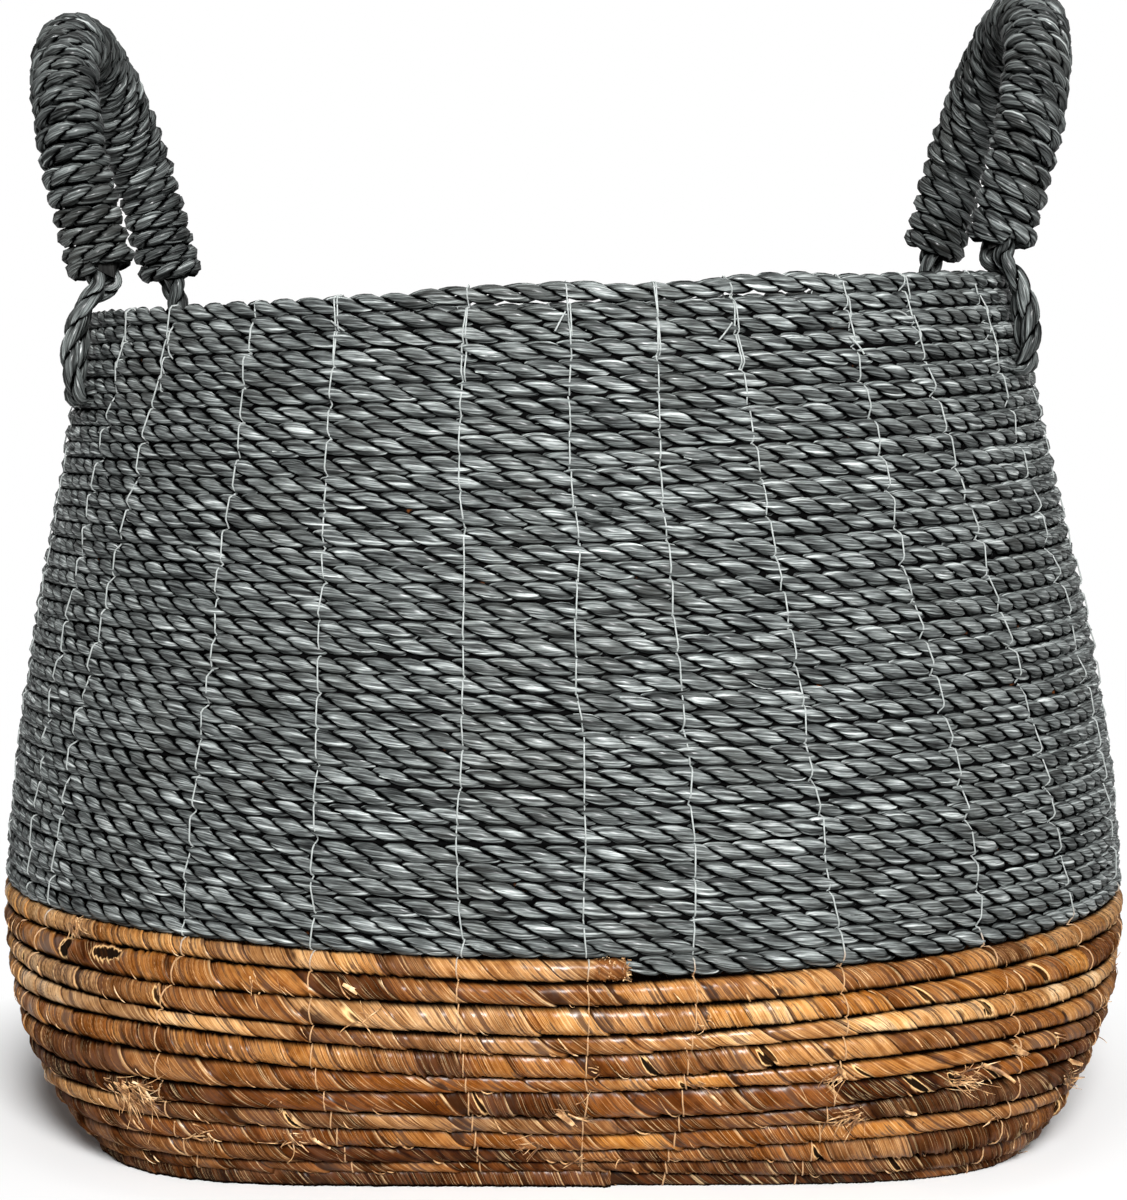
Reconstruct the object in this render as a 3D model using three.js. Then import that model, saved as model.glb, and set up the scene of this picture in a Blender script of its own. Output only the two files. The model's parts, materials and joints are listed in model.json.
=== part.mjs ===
import * as THREE from 'three';

// Coiled rope storage basket with two wrapped rope handles.
// Millimetres, +Z up, origin at the centre of the base on the floor, front towards -Y.
// One bark-wrapped rope spirals out over the base and climbs the lower wall,
// then a grey twisted rope climbs on from its cut end up to the rim.

// Wall outline
const rimHeight = 327;
const bellyHeight = 82;
const heelRadius = 177;
const bellyRadius = 226;
const rimRadius = 186;
const lowerBulgePower = 1.5;
const upperBulgePower = 1.55;
const upperBulgeShare = 0.7;
const heelSquareness = 4.8;
const squareFadeHeight = 92;
const rimTilt = 7;
const rimShift = -5;
const rimTiltStart = 120;

// Coiled ropes
const barkRopeRise = 7.6;
const barkRopeThickness = 8;
const barkCourses = 11;
const greyRopeThickness = 6.7;
const greyTurns = 36 + 2 / 3;
const ropeGrooveShare = 0.24;
const ropeJointGap = 0.3;
const seamAngle = THREE.MathUtils.degToRad(275.5);
const stepsPerTurn = 24;

// Base spiral
const baseRopeWidth = 7.6;
const baseRopeHeight = 7.6;
const baseGrooveDepth = 1.7;
const baseHeelGap = 2.7;

// Stitching
const stitchLineDegrees = [
  { rim: 212, foot: 204 }, { rim: 222.4, foot: 210.5 }, { rim: 235.4, foot: 232.8 }, { rim: 245.8, foot: 247.2 },
  { rim: 261.1, foot: 260.6 }, { rim: 271.7, foot: 272.1 }, { rim: 281.1, foot: 281.6 }, { rim: 289.8, foot: 295.4 },
  { rim: 304.2, foot: 312.6 }, { rim: 313.2, foot: 327.8 }, { rim: 328.8, foot: 345 }, { rim: 342.3, foot: 357.2 },
  { rim: 355.8, foot: 369.3 }, { rim: 9.3, foot: 21.5 }, { rim: 22.8, foot: 33.7 }, { rim: 36.4, foot: 45.8 },
  { rim: 49.9, foot: 58 }, { rim: 63.4, foot: 70.2 }, { rim: 76.9, foot: 82.3 }, { rim: 90.4, foot: 94.5 },
  { rim: 103.9, foot: 106.7 }, { rim: 117.4, foot: 118.8 }, { rim: 130.9, foot: 131 }, { rim: 144.4, foot: 143.2 },
  { rim: 158, foot: 155.3 }, { rim: 171.5, foot: 167.5 }, { rim: 185, foot: 179.7 }, { rim: 195.5, foot: 191.8 },
];
const threadDiameter = 0.9;
const threadStandoff = 0.8;
const threadSteps = 18;
const threadSpacingPower = 1.35;
const threadFootHeight = 4.5;
const threadTopDrop = 9;

// Handles
const handleLegSpacing = 140;
const nearLegOffset = 171.5;
const farLegOffset = 161;
const handleLegHeight = 29.5;
const handleLean = THREE.MathUtils.degToRad(14.5);
const handleCoreDiameter = 15;
const handleWrapDiameter = 27;
const handleWrapPitch = 6.1;
const handleWrapGrooveDepth = 1.6;
const handleWrapBoreGap = 0.35;
const handleWrapSteps = 8;
const handleArcSteps = 16;
const handleSeatHeight = 5;

// Handle root ropes, which carry each handle leg on the wall
const rootRopeDiameter = 6.6;
const rootRopeGap = 1.4;
const rootRopeBow = 9;
const rootRopeInnerBow = 5;
const rootRopeDrop = 38;
const rootRopeWallGap = 0.8;
const rootDomeGap = 0.4;
const rootRopeSides = 6;
const rootRopeSteps = 8;
const rootDomeRings = 2;
const rootRopePathShares = [
  { fall: 1 / 6, bow: 1 / 3 },
  { fall: 2 / 5, bow: 4 / 5 },
  { fall: 7 / 10, bow: 1 },
];

const colours = {
  greyRope: 0x4b4f4e,
  barkRope: 0xb98a57,
  thread: 0xb4b6b2,
  core: 0x6a655c,
};

function material(name, colour, roughness) {
  return new THREE.MeshStandardMaterial({ name, color: colour, roughness, metalness: 0 });
}

const greyRopeMaterial = material('grey_twisted_rope', colours.greyRope, 0.7);
const barkRopeMaterial = material('dried_bark_rope', colours.barkRope, 0.75);
const threadMaterial = material('nylon_thread', colours.thread, 0.45);
const coreMaterial = material('handle_core_rope', colours.core, 0.85);

const fullTurn = 2 * Math.PI;
const handleArcRadius = handleLegSpacing / 2;

function smooth(share) {
  const t = THREE.MathUtils.clamp(share, 0, 1);
  return t * t * (3 - 2 * t);
}

// Outer radius of the wall at a height: a full heel, a belly and a neck that straightens.
function outerRadius(height) {
  if (height < bellyHeight) {
    const down = 1 - Math.max(height, 0) / bellyHeight;
    return heelRadius + (bellyRadius - heelRadius) * (1 - down ** lowerBulgePower);
  }
  const up = Math.min((height - bellyHeight) / (rimHeight - bellyHeight), 1);
  const drawnIn = upperBulgeShare * up ** upperBulgePower
    + (1 - upperBulgeShare) * (1 - Math.cos(Math.PI * up)) / 2;
  return bellyRadius - (bellyRadius - rimRadius) * drawnIn;
}

// The foot is a rounded square and the wall is round from the belly up.
function squareFactor(angle, exponent) {
  const across = Math.abs(Math.cos(angle)) ** exponent;
  const along = Math.abs(Math.sin(angle)) ** exponent;
  return (across + along) ** (-1 / exponent);
}

function wallExponent(height) {
  return heelSquareness + (2 - heelSquareness) * smooth(height / squareFadeHeight);
}

// Handwork leaves the upper wall leaning to the left, with the rim higher on its right-hand side.
function leaning(point) {
  const share = smooth((point.z - rimTiltStart) / (rimHeight - rimTiltStart));
  const rise = rimTilt * share * point.x / rimRadius;
  return point.add(new THREE.Vector3(rimShift * share, 0, rise));
}

function uprightWallPoint(angle, height, inset) {
  const radius = outerRadius(height) * squareFactor(angle, wallExponent(height)) - inset;
  return new THREE.Vector3(radius * Math.cos(angle), radius * Math.sin(angle), height);
}

function wallPoint(angle, height, inset) {
  return leaning(uprightWallPoint(angle, height, inset));
}

// Level normal of the flat facet that the wall has between two of its steps.
function facetNormal(angle, height) {
  const stepAngle = fullTurn / stepsPerTurn;
  const before = seamAngle + Math.floor((angle - seamAngle) / stepAngle) * stepAngle;
  const start = uprightWallPoint(before, height, 0);
  const end = uprightWallPoint(before + stepAngle, height, 0);
  const along = end.sub(start).normalize();
  return { start, normal: new THREE.Vector3(along.y, -along.x, 0) };
}

// A point on that facet, or a distance off it.
function facetPoint(angle, height, standoff) {
  const { start, normal } = facetNormal(angle, height);
  const radial = new THREE.Vector3(Math.cos(angle), Math.sin(angle), 0);
  const distance = start.dot(normal) / radial.dot(normal);
  return leaning(radial.multiplyScalar(distance).setZ(height)).addScaledVector(normal, standoff);
}

function meshFrom(vertices, faces) {
  const geometry = new THREE.BufferGeometry();
  geometry.setFromPoints(vertices);
  geometry.setIndex(faces);
  geometry.computeVertexNormals();
  return geometry;
}

function quad(faces, a, b, c, d) {
  faces.push(a, b, c, a, c, d);
}

// A rope coiled up as a wall: each course shares its grooves with the courses below and above,
// so the coil is one solid, and it starts and ends in a step one course high.
function coiledWall({ turns, heightAt, thickness, endGap }) {
  const steps = Math.round(turns * stepsPerTurn);
  const groove = thickness * ropeGrooveShare;
  const vertices = [];
  const faces = [];
  const isEnd = (step) => step === steps || step === steps + stepsPerTurn;
  const place = (step, height, inset) => {
    const angle = seamAngle + step * fullTurn / stepsPerTurn;
    const back = isEnd(step) ? endGap / outerRadius(height) : 0;
    vertices.push(wallPoint(angle - back, height, inset));
    return vertices.length - 1;
  };
  const outerGroove = [];
  const innerGroove = [];
  for (let step = 0; step <= steps + stepsPerTurn; step++) {
    const height = heightAt(step / stepsPerTurn);
    outerGroove.push(place(step, height, groove));
    innerGroove.push(place(step, height, thickness - groove));
  }
  const outerCrest = [];
  const innerCrest = [];
  for (let step = 0; step <= steps; step++) {
    const turn = step / stepsPerTurn;
    const height = (heightAt(turn) + heightAt(turn + 1)) / 2;
    outerCrest.push(place(step, height, 0));
    innerCrest.push(place(step, height, thickness));
  }
  for (let step = 0; step < steps; step++) {
    const above = step + stepsPerTurn;
    quad(faces, outerGroove[step], outerGroove[step + 1], outerCrest[step + 1], outerCrest[step]);
    quad(faces, outerCrest[step], outerCrest[step + 1], outerGroove[above + 1], outerGroove[above]);
    quad(faces, innerCrest[step], innerCrest[step + 1], innerGroove[step + 1], innerGroove[step]);
    quad(faces, innerGroove[above], innerGroove[above + 1], innerCrest[step + 1], innerCrest[step]);
  }
  for (let step = 0; step < stepsPerTurn; step++) {
    const top = steps + step;
    quad(faces, innerGroove[step], innerGroove[step + 1], outerGroove[step + 1], outerGroove[step]);
    quad(faces, outerGroove[top], outerGroove[top + 1], innerGroove[top + 1], innerGroove[top]);
  }
  const ropeEnd = (step) => [
    outerGroove[step], outerCrest[step], outerGroove[step + stepsPerTurn],
    innerGroove[step + stepsPerTurn], innerCrest[step], innerGroove[step],
  ];
  const capFan = (ring) => {
    for (let i = 1; i < ring.length - 1; i++) faces.push(ring[0], ring[i], ring[i + 1]);
  };
  capFan(ropeEnd(0));
  capFan(ropeEnd(steps).reverse());
  return meshFrom(vertices, faces);
}

function barkRopeHeight(turn) {
  return barkRopeRise * turn;
}

// The first grey course rides up over the end of the bark rope, the others rise evenly.
const greyFoot = barkRopeRise * barkCourses + ropeJointGap;
const greyRopeRise = (rimHeight - greyFoot - barkRopeRise) / greyTurns;

function greyRopeHeight(turn) {
  const first = Math.min(turn, 1);
  return greyFoot + barkRopeRise * first + greyRopeRise * (turn - first);
}

// Where the base's outermost course starts: inside the wall's foot, and clear of the wall's
// first course where that has risen to the base's upper edge.
function baseEdgeStart() {
  const grooveInset = barkRopeThickness * (1 - ropeGrooveShare);
  const edgeHeight = baseRopeHeight - baseGrooveDepth;
  const grownBy = baseRopeWidth * edgeHeight / barkRopeRise;
  return Math.min(
    outerRadius(0) - grooveInset - baseHeelGap,
    outerRadius(edgeHeight) - grooveInset - ropeJointGap - grownBy,
  );
}

// The base: a flat spiral of bark rope, grooved on top and pressed flat underneath.
function baseSpiral() {
  const edgeStart = baseEdgeStart();
  const turns = Math.floor(edgeStart / baseRopeWidth);
  const steps = turns * stepsPerTurn;
  const innerStart = edgeStart - turns * baseRopeWidth;
  const edgeEnd = edgeStart + baseRopeWidth;
  const vertices = [];
  const faces = [];
  const place = (step, turn, height) => {
    const radius = innerStart + turn * baseRopeWidth;
    const exponent = 2 + (heelSquareness - 2) * (radius / edgeEnd) ** 2;
    const back = step >= steps + stepsPerTurn || step === steps ? ropeJointGap / edgeEnd : 0;
    const angle = seamAngle + step * fullTurn / stepsPerTurn - back;
    const size = radius * squareFactor(angle, exponent);
    vertices.push(new THREE.Vector3(size * Math.cos(angle), size * Math.sin(angle), height));
    return vertices.length - 1;
  };
  const groove = [];
  for (let step = 0; step <= steps + stepsPerTurn; step++) {
    groove.push(place(step, step / stepsPerTurn, baseRopeHeight - baseGrooveDepth));
  }
  const crest = [];
  for (let step = 0; step <= steps; step++) {
    crest.push(place(step, step / stepsPerTurn + 1 / 2, baseRopeHeight));
  }
  for (let step = 0; step < steps; step++) {
    const outside = step + stepsPerTurn;
    quad(faces, groove[step], crest[step], crest[step + 1], groove[step + 1]);
    quad(faces, crest[step], groove[outside], groove[outside + 1], crest[step + 1]);
  }
  const middleTop = vertices.push(new THREE.Vector3(0, 0, baseRopeHeight - baseGrooveDepth)) - 1;
  for (let step = 0; step < stepsPerTurn; step++) faces.push(middleTop, groove[step], groove[step + 1]);
  faces.push(middleTop, groove[stepsPerTurn], crest[0], middleTop, crest[0], groove[0]);
  const rim = groove.slice(steps);
  const foot = rim.map((vertex) => vertices.push(vertices[vertex].clone().setZ(0)) - 1);
  for (let step = 0; step < stepsPerTurn; step++) {
    quad(faces, foot[step], foot[step + 1], rim[step + 1], rim[step]);
  }
  const last = stepsPerTurn;
  faces.push(foot[last], foot[0], rim[0]);
  faces.push(foot[last], rim[0], crest[steps]);
  faces.push(foot[last], crest[steps], rim[last]);
  const middleFoot = vertices.push(new THREE.Vector3()) - 1;
  for (let step = 0; step < stepsPerTurn; step++) faces.push(middleFoot, foot[step + 1], foot[step]);
  faces.push(middleFoot, foot[0], foot[last]);
  return meshFrom(vertices, faces);
}

// A closed tube along a path: one ring of points per station, each with its own radius.
function tube(stations, sides, firstAxis) {
  const vertices = [];
  const faces = [];
  const rings = stations.map(({ centre, radius, facing }, index) => {
    const before = stations[Math.max(index - 1, 0)].centre;
    const after = stations[Math.min(index + 1, stations.length - 1)].centre;
    const along = facing ?? after.clone().sub(before).normalize();
    const across = firstAxis.clone().addScaledVector(along, -firstAxis.dot(along)).normalize();
    const up = along.clone().cross(across);
    return Array.from({ length: sides }, (_, side) => {
      const angle = side * fullTurn / sides;
      const point = centre.clone()
        .addScaledVector(across, radius * Math.cos(angle))
        .addScaledVector(up, radius * Math.sin(angle));
      return vertices.push(point) - 1;
    });
  });
  for (let ring = 0; ring < rings.length - 1; ring++) {
    for (let side = 0; side < sides; side++) {
      const next = (side + 1) % sides;
      quad(faces, rings[ring][side], rings[ring][next], rings[ring + 1][next], rings[ring + 1][side]);
    }
  }
  const cap = (ring, centre, flip) => {
    const middle = vertices.push(centre.clone()) - 1;
    for (let side = 0; side < sides; side++) {
      const next = (side + 1) % sides;
      if (flip) faces.push(middle, ring[next], ring[side]);
      else faces.push(middle, ring[side], ring[next]);
    }
  };
  const lastStation = stations[stations.length - 1];
  cap(rings[0], stations[0].tip ?? stations[0].centre, true);
  cap(rings[rings.length - 1], lastStation.centre, false);
  return meshFrom(vertices, faces);
}

// One stitch line: the thread runs down the outside of the wall over the crests of the ropes.
// It keeps its foot's direction over the bark rope and drifts to its rim's over the grey rope.
function stitchThread({ rim, foot }) {
  const top = rimHeight - threadTopDrop;
  const stations = [];
  for (let step = 0; step <= threadSteps; step++) {
    const share = (step / threadSteps) ** threadSpacingPower;
    const height = threadFootHeight + (top - threadFootHeight) * share;
    const upGrey = Math.max(height - greyFoot, 0) / (rimHeight - greyFoot);
    const angle = THREE.MathUtils.degToRad(foot + (rim - foot) * upGrey);
    const centre = facetPoint(angle, height, threadStandoff + threadDiameter / 2);
    stations.push({ centre, radius: threadDiameter / 2 });
  }
  const footAngle = THREE.MathUtils.degToRad(foot);
  return tube(stations, 3, new THREE.Vector3(Math.cos(footAngle), Math.sin(footAngle), 0));
}

// Handle geometry lies in its own upright plane: x along the hinge line, z up from it.
const handleFoot = rootRopeDiameter / 2 + rootDomeGap;
const handleStraight = handleLegHeight - handleFoot;
const handleLength = 2 * handleStraight + Math.PI * handleArcRadius;

function handleFrame(distance) {
  const onArc = THREE.MathUtils.clamp(distance - handleStraight, 0, Math.PI * handleArcRadius);
  const turn = onArc / handleArcRadius;
  const beyond = distance < handleStraight
    ? distance - handleStraight
    : Math.max(distance - handleStraight - Math.PI * handleArcRadius, 0);
  const along = new THREE.Vector3(Math.sin(turn), 0, Math.cos(turn));
  const outward = new THREE.Vector3(-Math.cos(turn), 0, Math.sin(turn));
  const centre = new THREE.Vector3(0, 0, handleLegHeight)
    .addScaledVector(outward, handleArcRadius)
    .addScaledVector(along, beyond);
  return { centre, along, outward };
}

function handlePoint(distance, radius, angle) {
  const { centre, outward } = handleFrame(distance);
  return centre
    .addScaledVector(outward, radius * Math.cos(angle))
    .add(new THREE.Vector3(0, radius * Math.sin(angle), 0));
}

function handleStations() {
  const distances = [0];
  for (let step = 0; step <= handleArcSteps; step++) {
    distances.push(handleStraight + step / handleArcSteps * Math.PI * handleArcRadius);
  }
  distances.push(handleLength);
  return distances;
}

function handleCore() {
  const stations = handleStations().map((distance) => (
    { centre: handleFrame(distance).centre, radius: handleCoreDiameter / 2 }
  ));
  return tube(stations, handleWrapSteps, new THREE.Vector3(0, 1, 0));
}

// The wrap: rope wound closely round the core, a sleeve whose outside is one helical rope course
// after another, each turn sharing its grooves with the turns beside it.
function handleWrap() {
  const turns = Math.floor(handleLength / handleWrapPitch);
  const pitch = handleLength / turns;
  const steps = (turns - 1) * handleWrapSteps;
  const crestRadius = handleWrapDiameter / 2;
  const boreRadius = (handleCoreDiameter / 2 + handleWrapBoreGap) / Math.cos(Math.PI / handleWrapSteps);
  const vertices = [];
  const faces = [];
  const place = (step, distance, radius) => {
    vertices.push(handlePoint(distance, radius, step * fullTurn / handleWrapSteps));
    return vertices.length - 1;
  };
  const groove = [];
  for (let step = 0; step <= steps + handleWrapSteps; step++) {
    const distance = step / handleWrapSteps * pitch;
    groove.push(place(step, distance, crestRadius - handleWrapGrooveDepth));
  }
  const crest = [];
  for (let step = 0; step <= steps; step++) {
    crest.push(place(step, (step / handleWrapSteps + 1 / 2) * pitch, crestRadius));
  }
  for (let step = 0; step < steps; step++) {
    const beside = step + handleWrapSteps;
    quad(faces, groove[step], crest[step], crest[step + 1], groove[step + 1]);
    quad(faces, crest[step], groove[beside], groove[beside + 1], crest[step + 1]);
  }
  const bore = handleStations().map((distance) => (
    Array.from({ length: handleWrapSteps }, (_, step) => place(step, distance, boreRadius))
  ));
  const lastRing = bore.length - 1;
  for (let ring = 0; ring < lastRing; ring++) {
    for (let side = 0; side < handleWrapSteps; side++) {
      const next = (side + 1) % handleWrapSteps;
      quad(faces, bore[ring][side], bore[ring][next], bore[ring + 1][next], bore[ring + 1][side]);
    }
  }
  const ends = [
    { ring: bore[0], edge: groove.slice(0, handleWrapSteps + 1), tip: crest[0], atStart: true },
    { ring: bore[lastRing], edge: groove.slice(steps), tip: crest[steps], atStart: false },
  ];
  for (const { ring, edge, tip, atStart } of ends) {
    const add = (a, b, c) => (atStart ? faces.push(a, b, c) : faces.push(a, c, b));
    for (let side = 0; side < handleWrapSteps; side++) {
      const next = (side + 1) % handleWrapSteps;
      add(ring[side], edge[side], edge[side + 1]);
      add(ring[side], edge[side + 1], ring[next]);
    }
    add(ring[0], edge[handleWrapSteps], tip);
    add(ring[0], tip, edge[0]);
  }
  return meshFrom(vertices, faces);
}

// Height of the rim's top surface at an angle, counted from the end of the grey rope.
function rimTopHeight(angle) {
  const endAngle = seamAngle + greyTurns * fullTurn;
  const share = THREE.MathUtils.euclideanModulo(angle - endAngle, fullTurn) / fullTurn;
  return wallPoint(angle, rimHeight - greyRopeRise * (1 - share), 0).z;
}

// Angle of a handle leg about the basket's own axis.
function legAngle(leg) {
  return Math.atan2(leg.y, leg.x);
}

// Hinge line of one handle: it joins the two root ropes' tops, just above the rim.
function hingeLine(side) {
  const near = new THREE.Vector3(side * nearLegOffset, -handleLegSpacing / 2, 0);
  const far = new THREE.Vector3(side * farLegOffset, handleLegSpacing / 2, 0);
  const legSpread = handleWrapDiameter / 2 / rimRadius;
  let top = 0;
  for (const leg of [near, far]) {
    for (const spread of [-legSpread, 0, legSpread]) {
      top = Math.max(top, rimTopHeight(legAngle(leg) + spread));
    }
  }
  for (const leg of [near, far]) leg.add(new THREE.Vector3(rimShift, 0, top + handleSeatHeight));
  return { near, far };
}

// A root rope comes down from the hinge line, bows clear of the rim and turns in to the wall.
// The front leg's ropes lie outside the wall and the back leg's inside it.
function rootRope(leg, hingeDirection, strandSide, isOutside) {
  const radius = rootRopeDiameter / 2;
  const away = isOutside ? 1 : -1;
  const bow = isOutside ? rootRopeBow : rootRopeInnerBow;
  const offWall = (distance) => (isOutside ? distance : -greyRopeThickness - distance);
  const top = leg.clone().addScaledVector(hingeDirection, strandSide * (rootRopeDiameter + rootRopeGap) / 2);
  const angle = legAngle(top.clone().setX(top.x - rimShift));
  const footHeight = rimHeight - rootRopeDrop;
  const foot = facetPoint(angle, footHeight, offWall(rootRopeWallGap));
  const { normal } = facetNormal(legAngle(leg.clone().setX(leg.x - rimShift)), footHeight);
  const wallSlope = (outerRadius(footHeight - radius) - outerRadius(footHeight + radius)) / (2 * radius);
  const outward = normal.clone().multiplyScalar(away);
  const reach = (point) => point.dot(outward);
  const pastRim = reach(facetPoint(angle, rimHeight, offWall(radius + rootRopeWallGap)));
  const bowFrom = Math.max(reach(top), pastRim);
  const fall = top.z - foot.z;
  const at = (distance, height) => top.clone().addScaledVector(outward, distance - reach(top)).setZ(height);
  const curve = new THREE.CatmullRomCurve3([
    top,
    ...rootRopePathShares.map((share) => at(bowFrom + bow * share.bow, top.z - fall * share.fall)),
    at(reach(foot) + radius, foot.z + away * radius * wallSlope),
    at(reach(foot), foot.z),
  ]);
  const points = curve.getSpacedPoints(rootRopeSteps);
  const upward = top.clone().sub(points[1]).normalize();
  const stations = [];
  for (let ring = rootDomeRings; ring > 0; ring--) {
    const rise = Math.PI / 2 * ring / (rootDomeRings + 1);
    const centre = top.clone().addScaledVector(upward, radius * Math.sin(rise));
    stations.push({ centre, radius: radius * Math.cos(rise) });
  }
  stations[0].tip = top.clone().addScaledVector(upward, radius);
  for (const centre of points) stations.push({ centre, radius });
  stations[stations.length - 1].facing = normal.clone().setZ(wallSlope).multiplyScalar(-away).normalize();
  return tube(stations, rootRopeSides, hingeDirection);
}

const basket = new THREE.Group();

function addPiece(parent, name, geometry, pieceMaterial) {
  const mesh = new THREE.Mesh(geometry, pieceMaterial);
  mesh.name = name;
  parent.add(mesh);
}

addPiece(basket, 'base_coil', baseSpiral(), barkRopeMaterial);
addPiece(basket, 'bark_rope_wall', coiledWall({
  turns: barkCourses,
  heightAt: barkRopeHeight,
  thickness: barkRopeThickness,
  endGap: ropeJointGap,
}), barkRopeMaterial);
addPiece(basket, 'grey_rope_wall', coiledWall({
  turns: greyTurns,
  heightAt: greyRopeHeight,
  thickness: greyRopeThickness,
  endGap: 0,
}), greyRopeMaterial);

stitchLineDegrees.forEach((line, index) => {
  addPiece(basket, `stitch_thread_${String(index + 1).padStart(2, '0')}`, stitchThread(line), threadMaterial);
});

const coreGeometry = handleCore();
const wrapGeometry = handleWrap();

for (const [label, side] of [['left', -1], ['right', 1]]) {
  const { near, far } = hingeLine(side);
  const hingeDirection = far.clone().sub(near).normalize();
  const mount = new THREE.Group();
  mount.position.copy(near).add(far).multiplyScalar(1 / 2);
  mount.rotation.z = Math.atan2(hingeDirection.y, hingeDirection.x);
  const plane = new THREE.Group();
  plane.rotation.x = side * handleLean;
  plane.scale.x = near.distanceTo(far) / handleLegSpacing;
  mount.add(plane);
  basket.add(mount);
  addPiece(plane, `${label}_handle_core`, coreGeometry, coreMaterial);
  addPiece(plane, `${label}_handle_wrap`, wrapGeometry, greyRopeMaterial);
  for (const [legLabel, leg, isOutside] of [['front', near, true], ['back', far, false]]) {
    for (const [strandLabel, strandSide] of [['a', -1], ['b', 1]]) {
      const name = `${label}_${legLabel}_root_rope_${strandLabel}`;
      addPiece(basket, name, rootRope(leg, hingeDirection, strandSide, isOutside), greyRopeMaterial);
    }
  }
}

export default basket;
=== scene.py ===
# Coiled rope storage basket: its looks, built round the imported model.
# Metres, +Z up, origin at the centre of the base on the floor, front towards -Y.
import json
import math

import bmesh
import bpy
import numpy as np
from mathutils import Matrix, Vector


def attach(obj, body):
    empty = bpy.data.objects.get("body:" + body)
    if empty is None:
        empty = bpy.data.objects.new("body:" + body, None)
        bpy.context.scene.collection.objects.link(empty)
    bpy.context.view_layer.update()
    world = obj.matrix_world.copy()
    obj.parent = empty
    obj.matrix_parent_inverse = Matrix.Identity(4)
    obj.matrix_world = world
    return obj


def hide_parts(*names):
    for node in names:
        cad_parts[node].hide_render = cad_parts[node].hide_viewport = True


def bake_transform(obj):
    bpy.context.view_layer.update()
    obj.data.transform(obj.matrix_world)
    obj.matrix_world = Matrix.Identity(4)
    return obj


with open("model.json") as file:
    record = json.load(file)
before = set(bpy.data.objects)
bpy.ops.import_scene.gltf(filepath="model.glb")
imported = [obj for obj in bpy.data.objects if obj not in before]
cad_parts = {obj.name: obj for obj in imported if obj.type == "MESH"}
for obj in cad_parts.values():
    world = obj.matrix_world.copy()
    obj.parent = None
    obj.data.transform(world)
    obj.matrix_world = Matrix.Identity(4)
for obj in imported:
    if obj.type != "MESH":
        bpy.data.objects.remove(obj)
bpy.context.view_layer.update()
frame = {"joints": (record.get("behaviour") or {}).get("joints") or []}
collection = bpy.context.scene.collection


# ==== Coiled base ====
# The bottom is one rope laid in a flat spiral from its middle outwards, stitched turn to turn.
# The rope is a core wound slantwise with strips of dried bark, and its underside is pressed
# flat where the basket stands.
full_turn = 2 * math.pi
seam_angle = math.radians(275.5)
heel_radius = 0.177
belly_radius = 0.226
rim_radius = 0.186
belly_height = 0.082
rim_height = 0.327
lower_bulge_power = 1.5
upper_bulge_power = 1.55
upper_bulge_share = 0.7


def smooth(share):
    share = np.clip(share, 0, 1)
    return share * share * (3 - 2 * share)


def square_factor(angle, exponent):
    """The foot is a rounded square that turns round by the belly."""
    across = np.abs(np.cos(angle)) ** exponent + np.abs(np.sin(angle)) ** exponent
    return across ** (-1 / exponent)


def outer_radius(height):
    """Outer radius of the wall at a height: a full heel, a belly and a drawn-in neck."""
    down = np.clip(1 - height / belly_height, 0, 1)
    lower = heel_radius + (belly_radius - heel_radius) * (1 - down ** lower_bulge_power)
    rise = np.clip((height - belly_height) / (rim_height - belly_height), 0, 1)
    drawn = (upper_bulge_share * rise ** upper_bulge_power
             + (1 - upper_bulge_share) * (1 - np.cos(math.pi * rise)) / 2)
    upper = belly_radius - (belly_radius - rim_radius) * drawn
    return np.where(height < belly_height, lower, upper)


def wander(length, spacing, rng, columns=1):
    """Slow random values along a length, one fresh value per spacing."""
    knots = rng.normal(size=(int(length[-1] / spacing) + 3, columns))
    place = length / spacing
    before = place.astype(int)
    share = smooth(place - before)[:, None]
    return knots[before] * (1 - share) + knots[before + 1] * share


def unit(vectors):
    return vectors / np.linalg.norm(vectors, axis=-1, keepdims=True)


def heading(path):
    """The direction along a path."""
    return unit(np.gradient(path, axis=0))


def length_along(path):
    return np.concatenate([[0], np.cumsum(np.linalg.norm(np.diff(path, axis=0), axis=1))])


def angle_at(turns):
    """The direction from the middle, after a number of turns from the seam."""
    return seam_angle + full_turn * turns


def turn_part(degrees):
    """The part of a turn at which a rope passes a direction, in degrees from +X."""
    return (math.radians(degrees) - seam_angle) / full_turn % 1


path_fineness = 400


def even_path(place_at, first, last, step):
    """Turns spaced so that the path's points lie one step apart, and the length along it."""
    fine = np.linspace(first, last, int((last - first) * path_fineness) + 2)
    run = length_along(place_at(fine))
    along = np.linspace(0, run[-1], int(run[-1] / step) + 2)
    return np.interp(along, run, fine), along


def placed(name, data):
    """An object with the given data, in the scene."""
    made = bpy.data.objects.new(name, data)
    collection.objects.link(made)
    return made


def outline_shape(name, points):
    """The outline that a rope is drawn with."""
    outline = bpy.data.curves.new(name, "CURVE")
    outline.dimensions = "2D"
    spline = outline.splines.new("POLY")
    spline.points.add(len(points) - 1)
    for point, (x, y) in zip(spline.points, points):
        point.co = (x, y, 0, 1)
    spline.use_cyclic_u = True
    return placed(name, outline)


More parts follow.
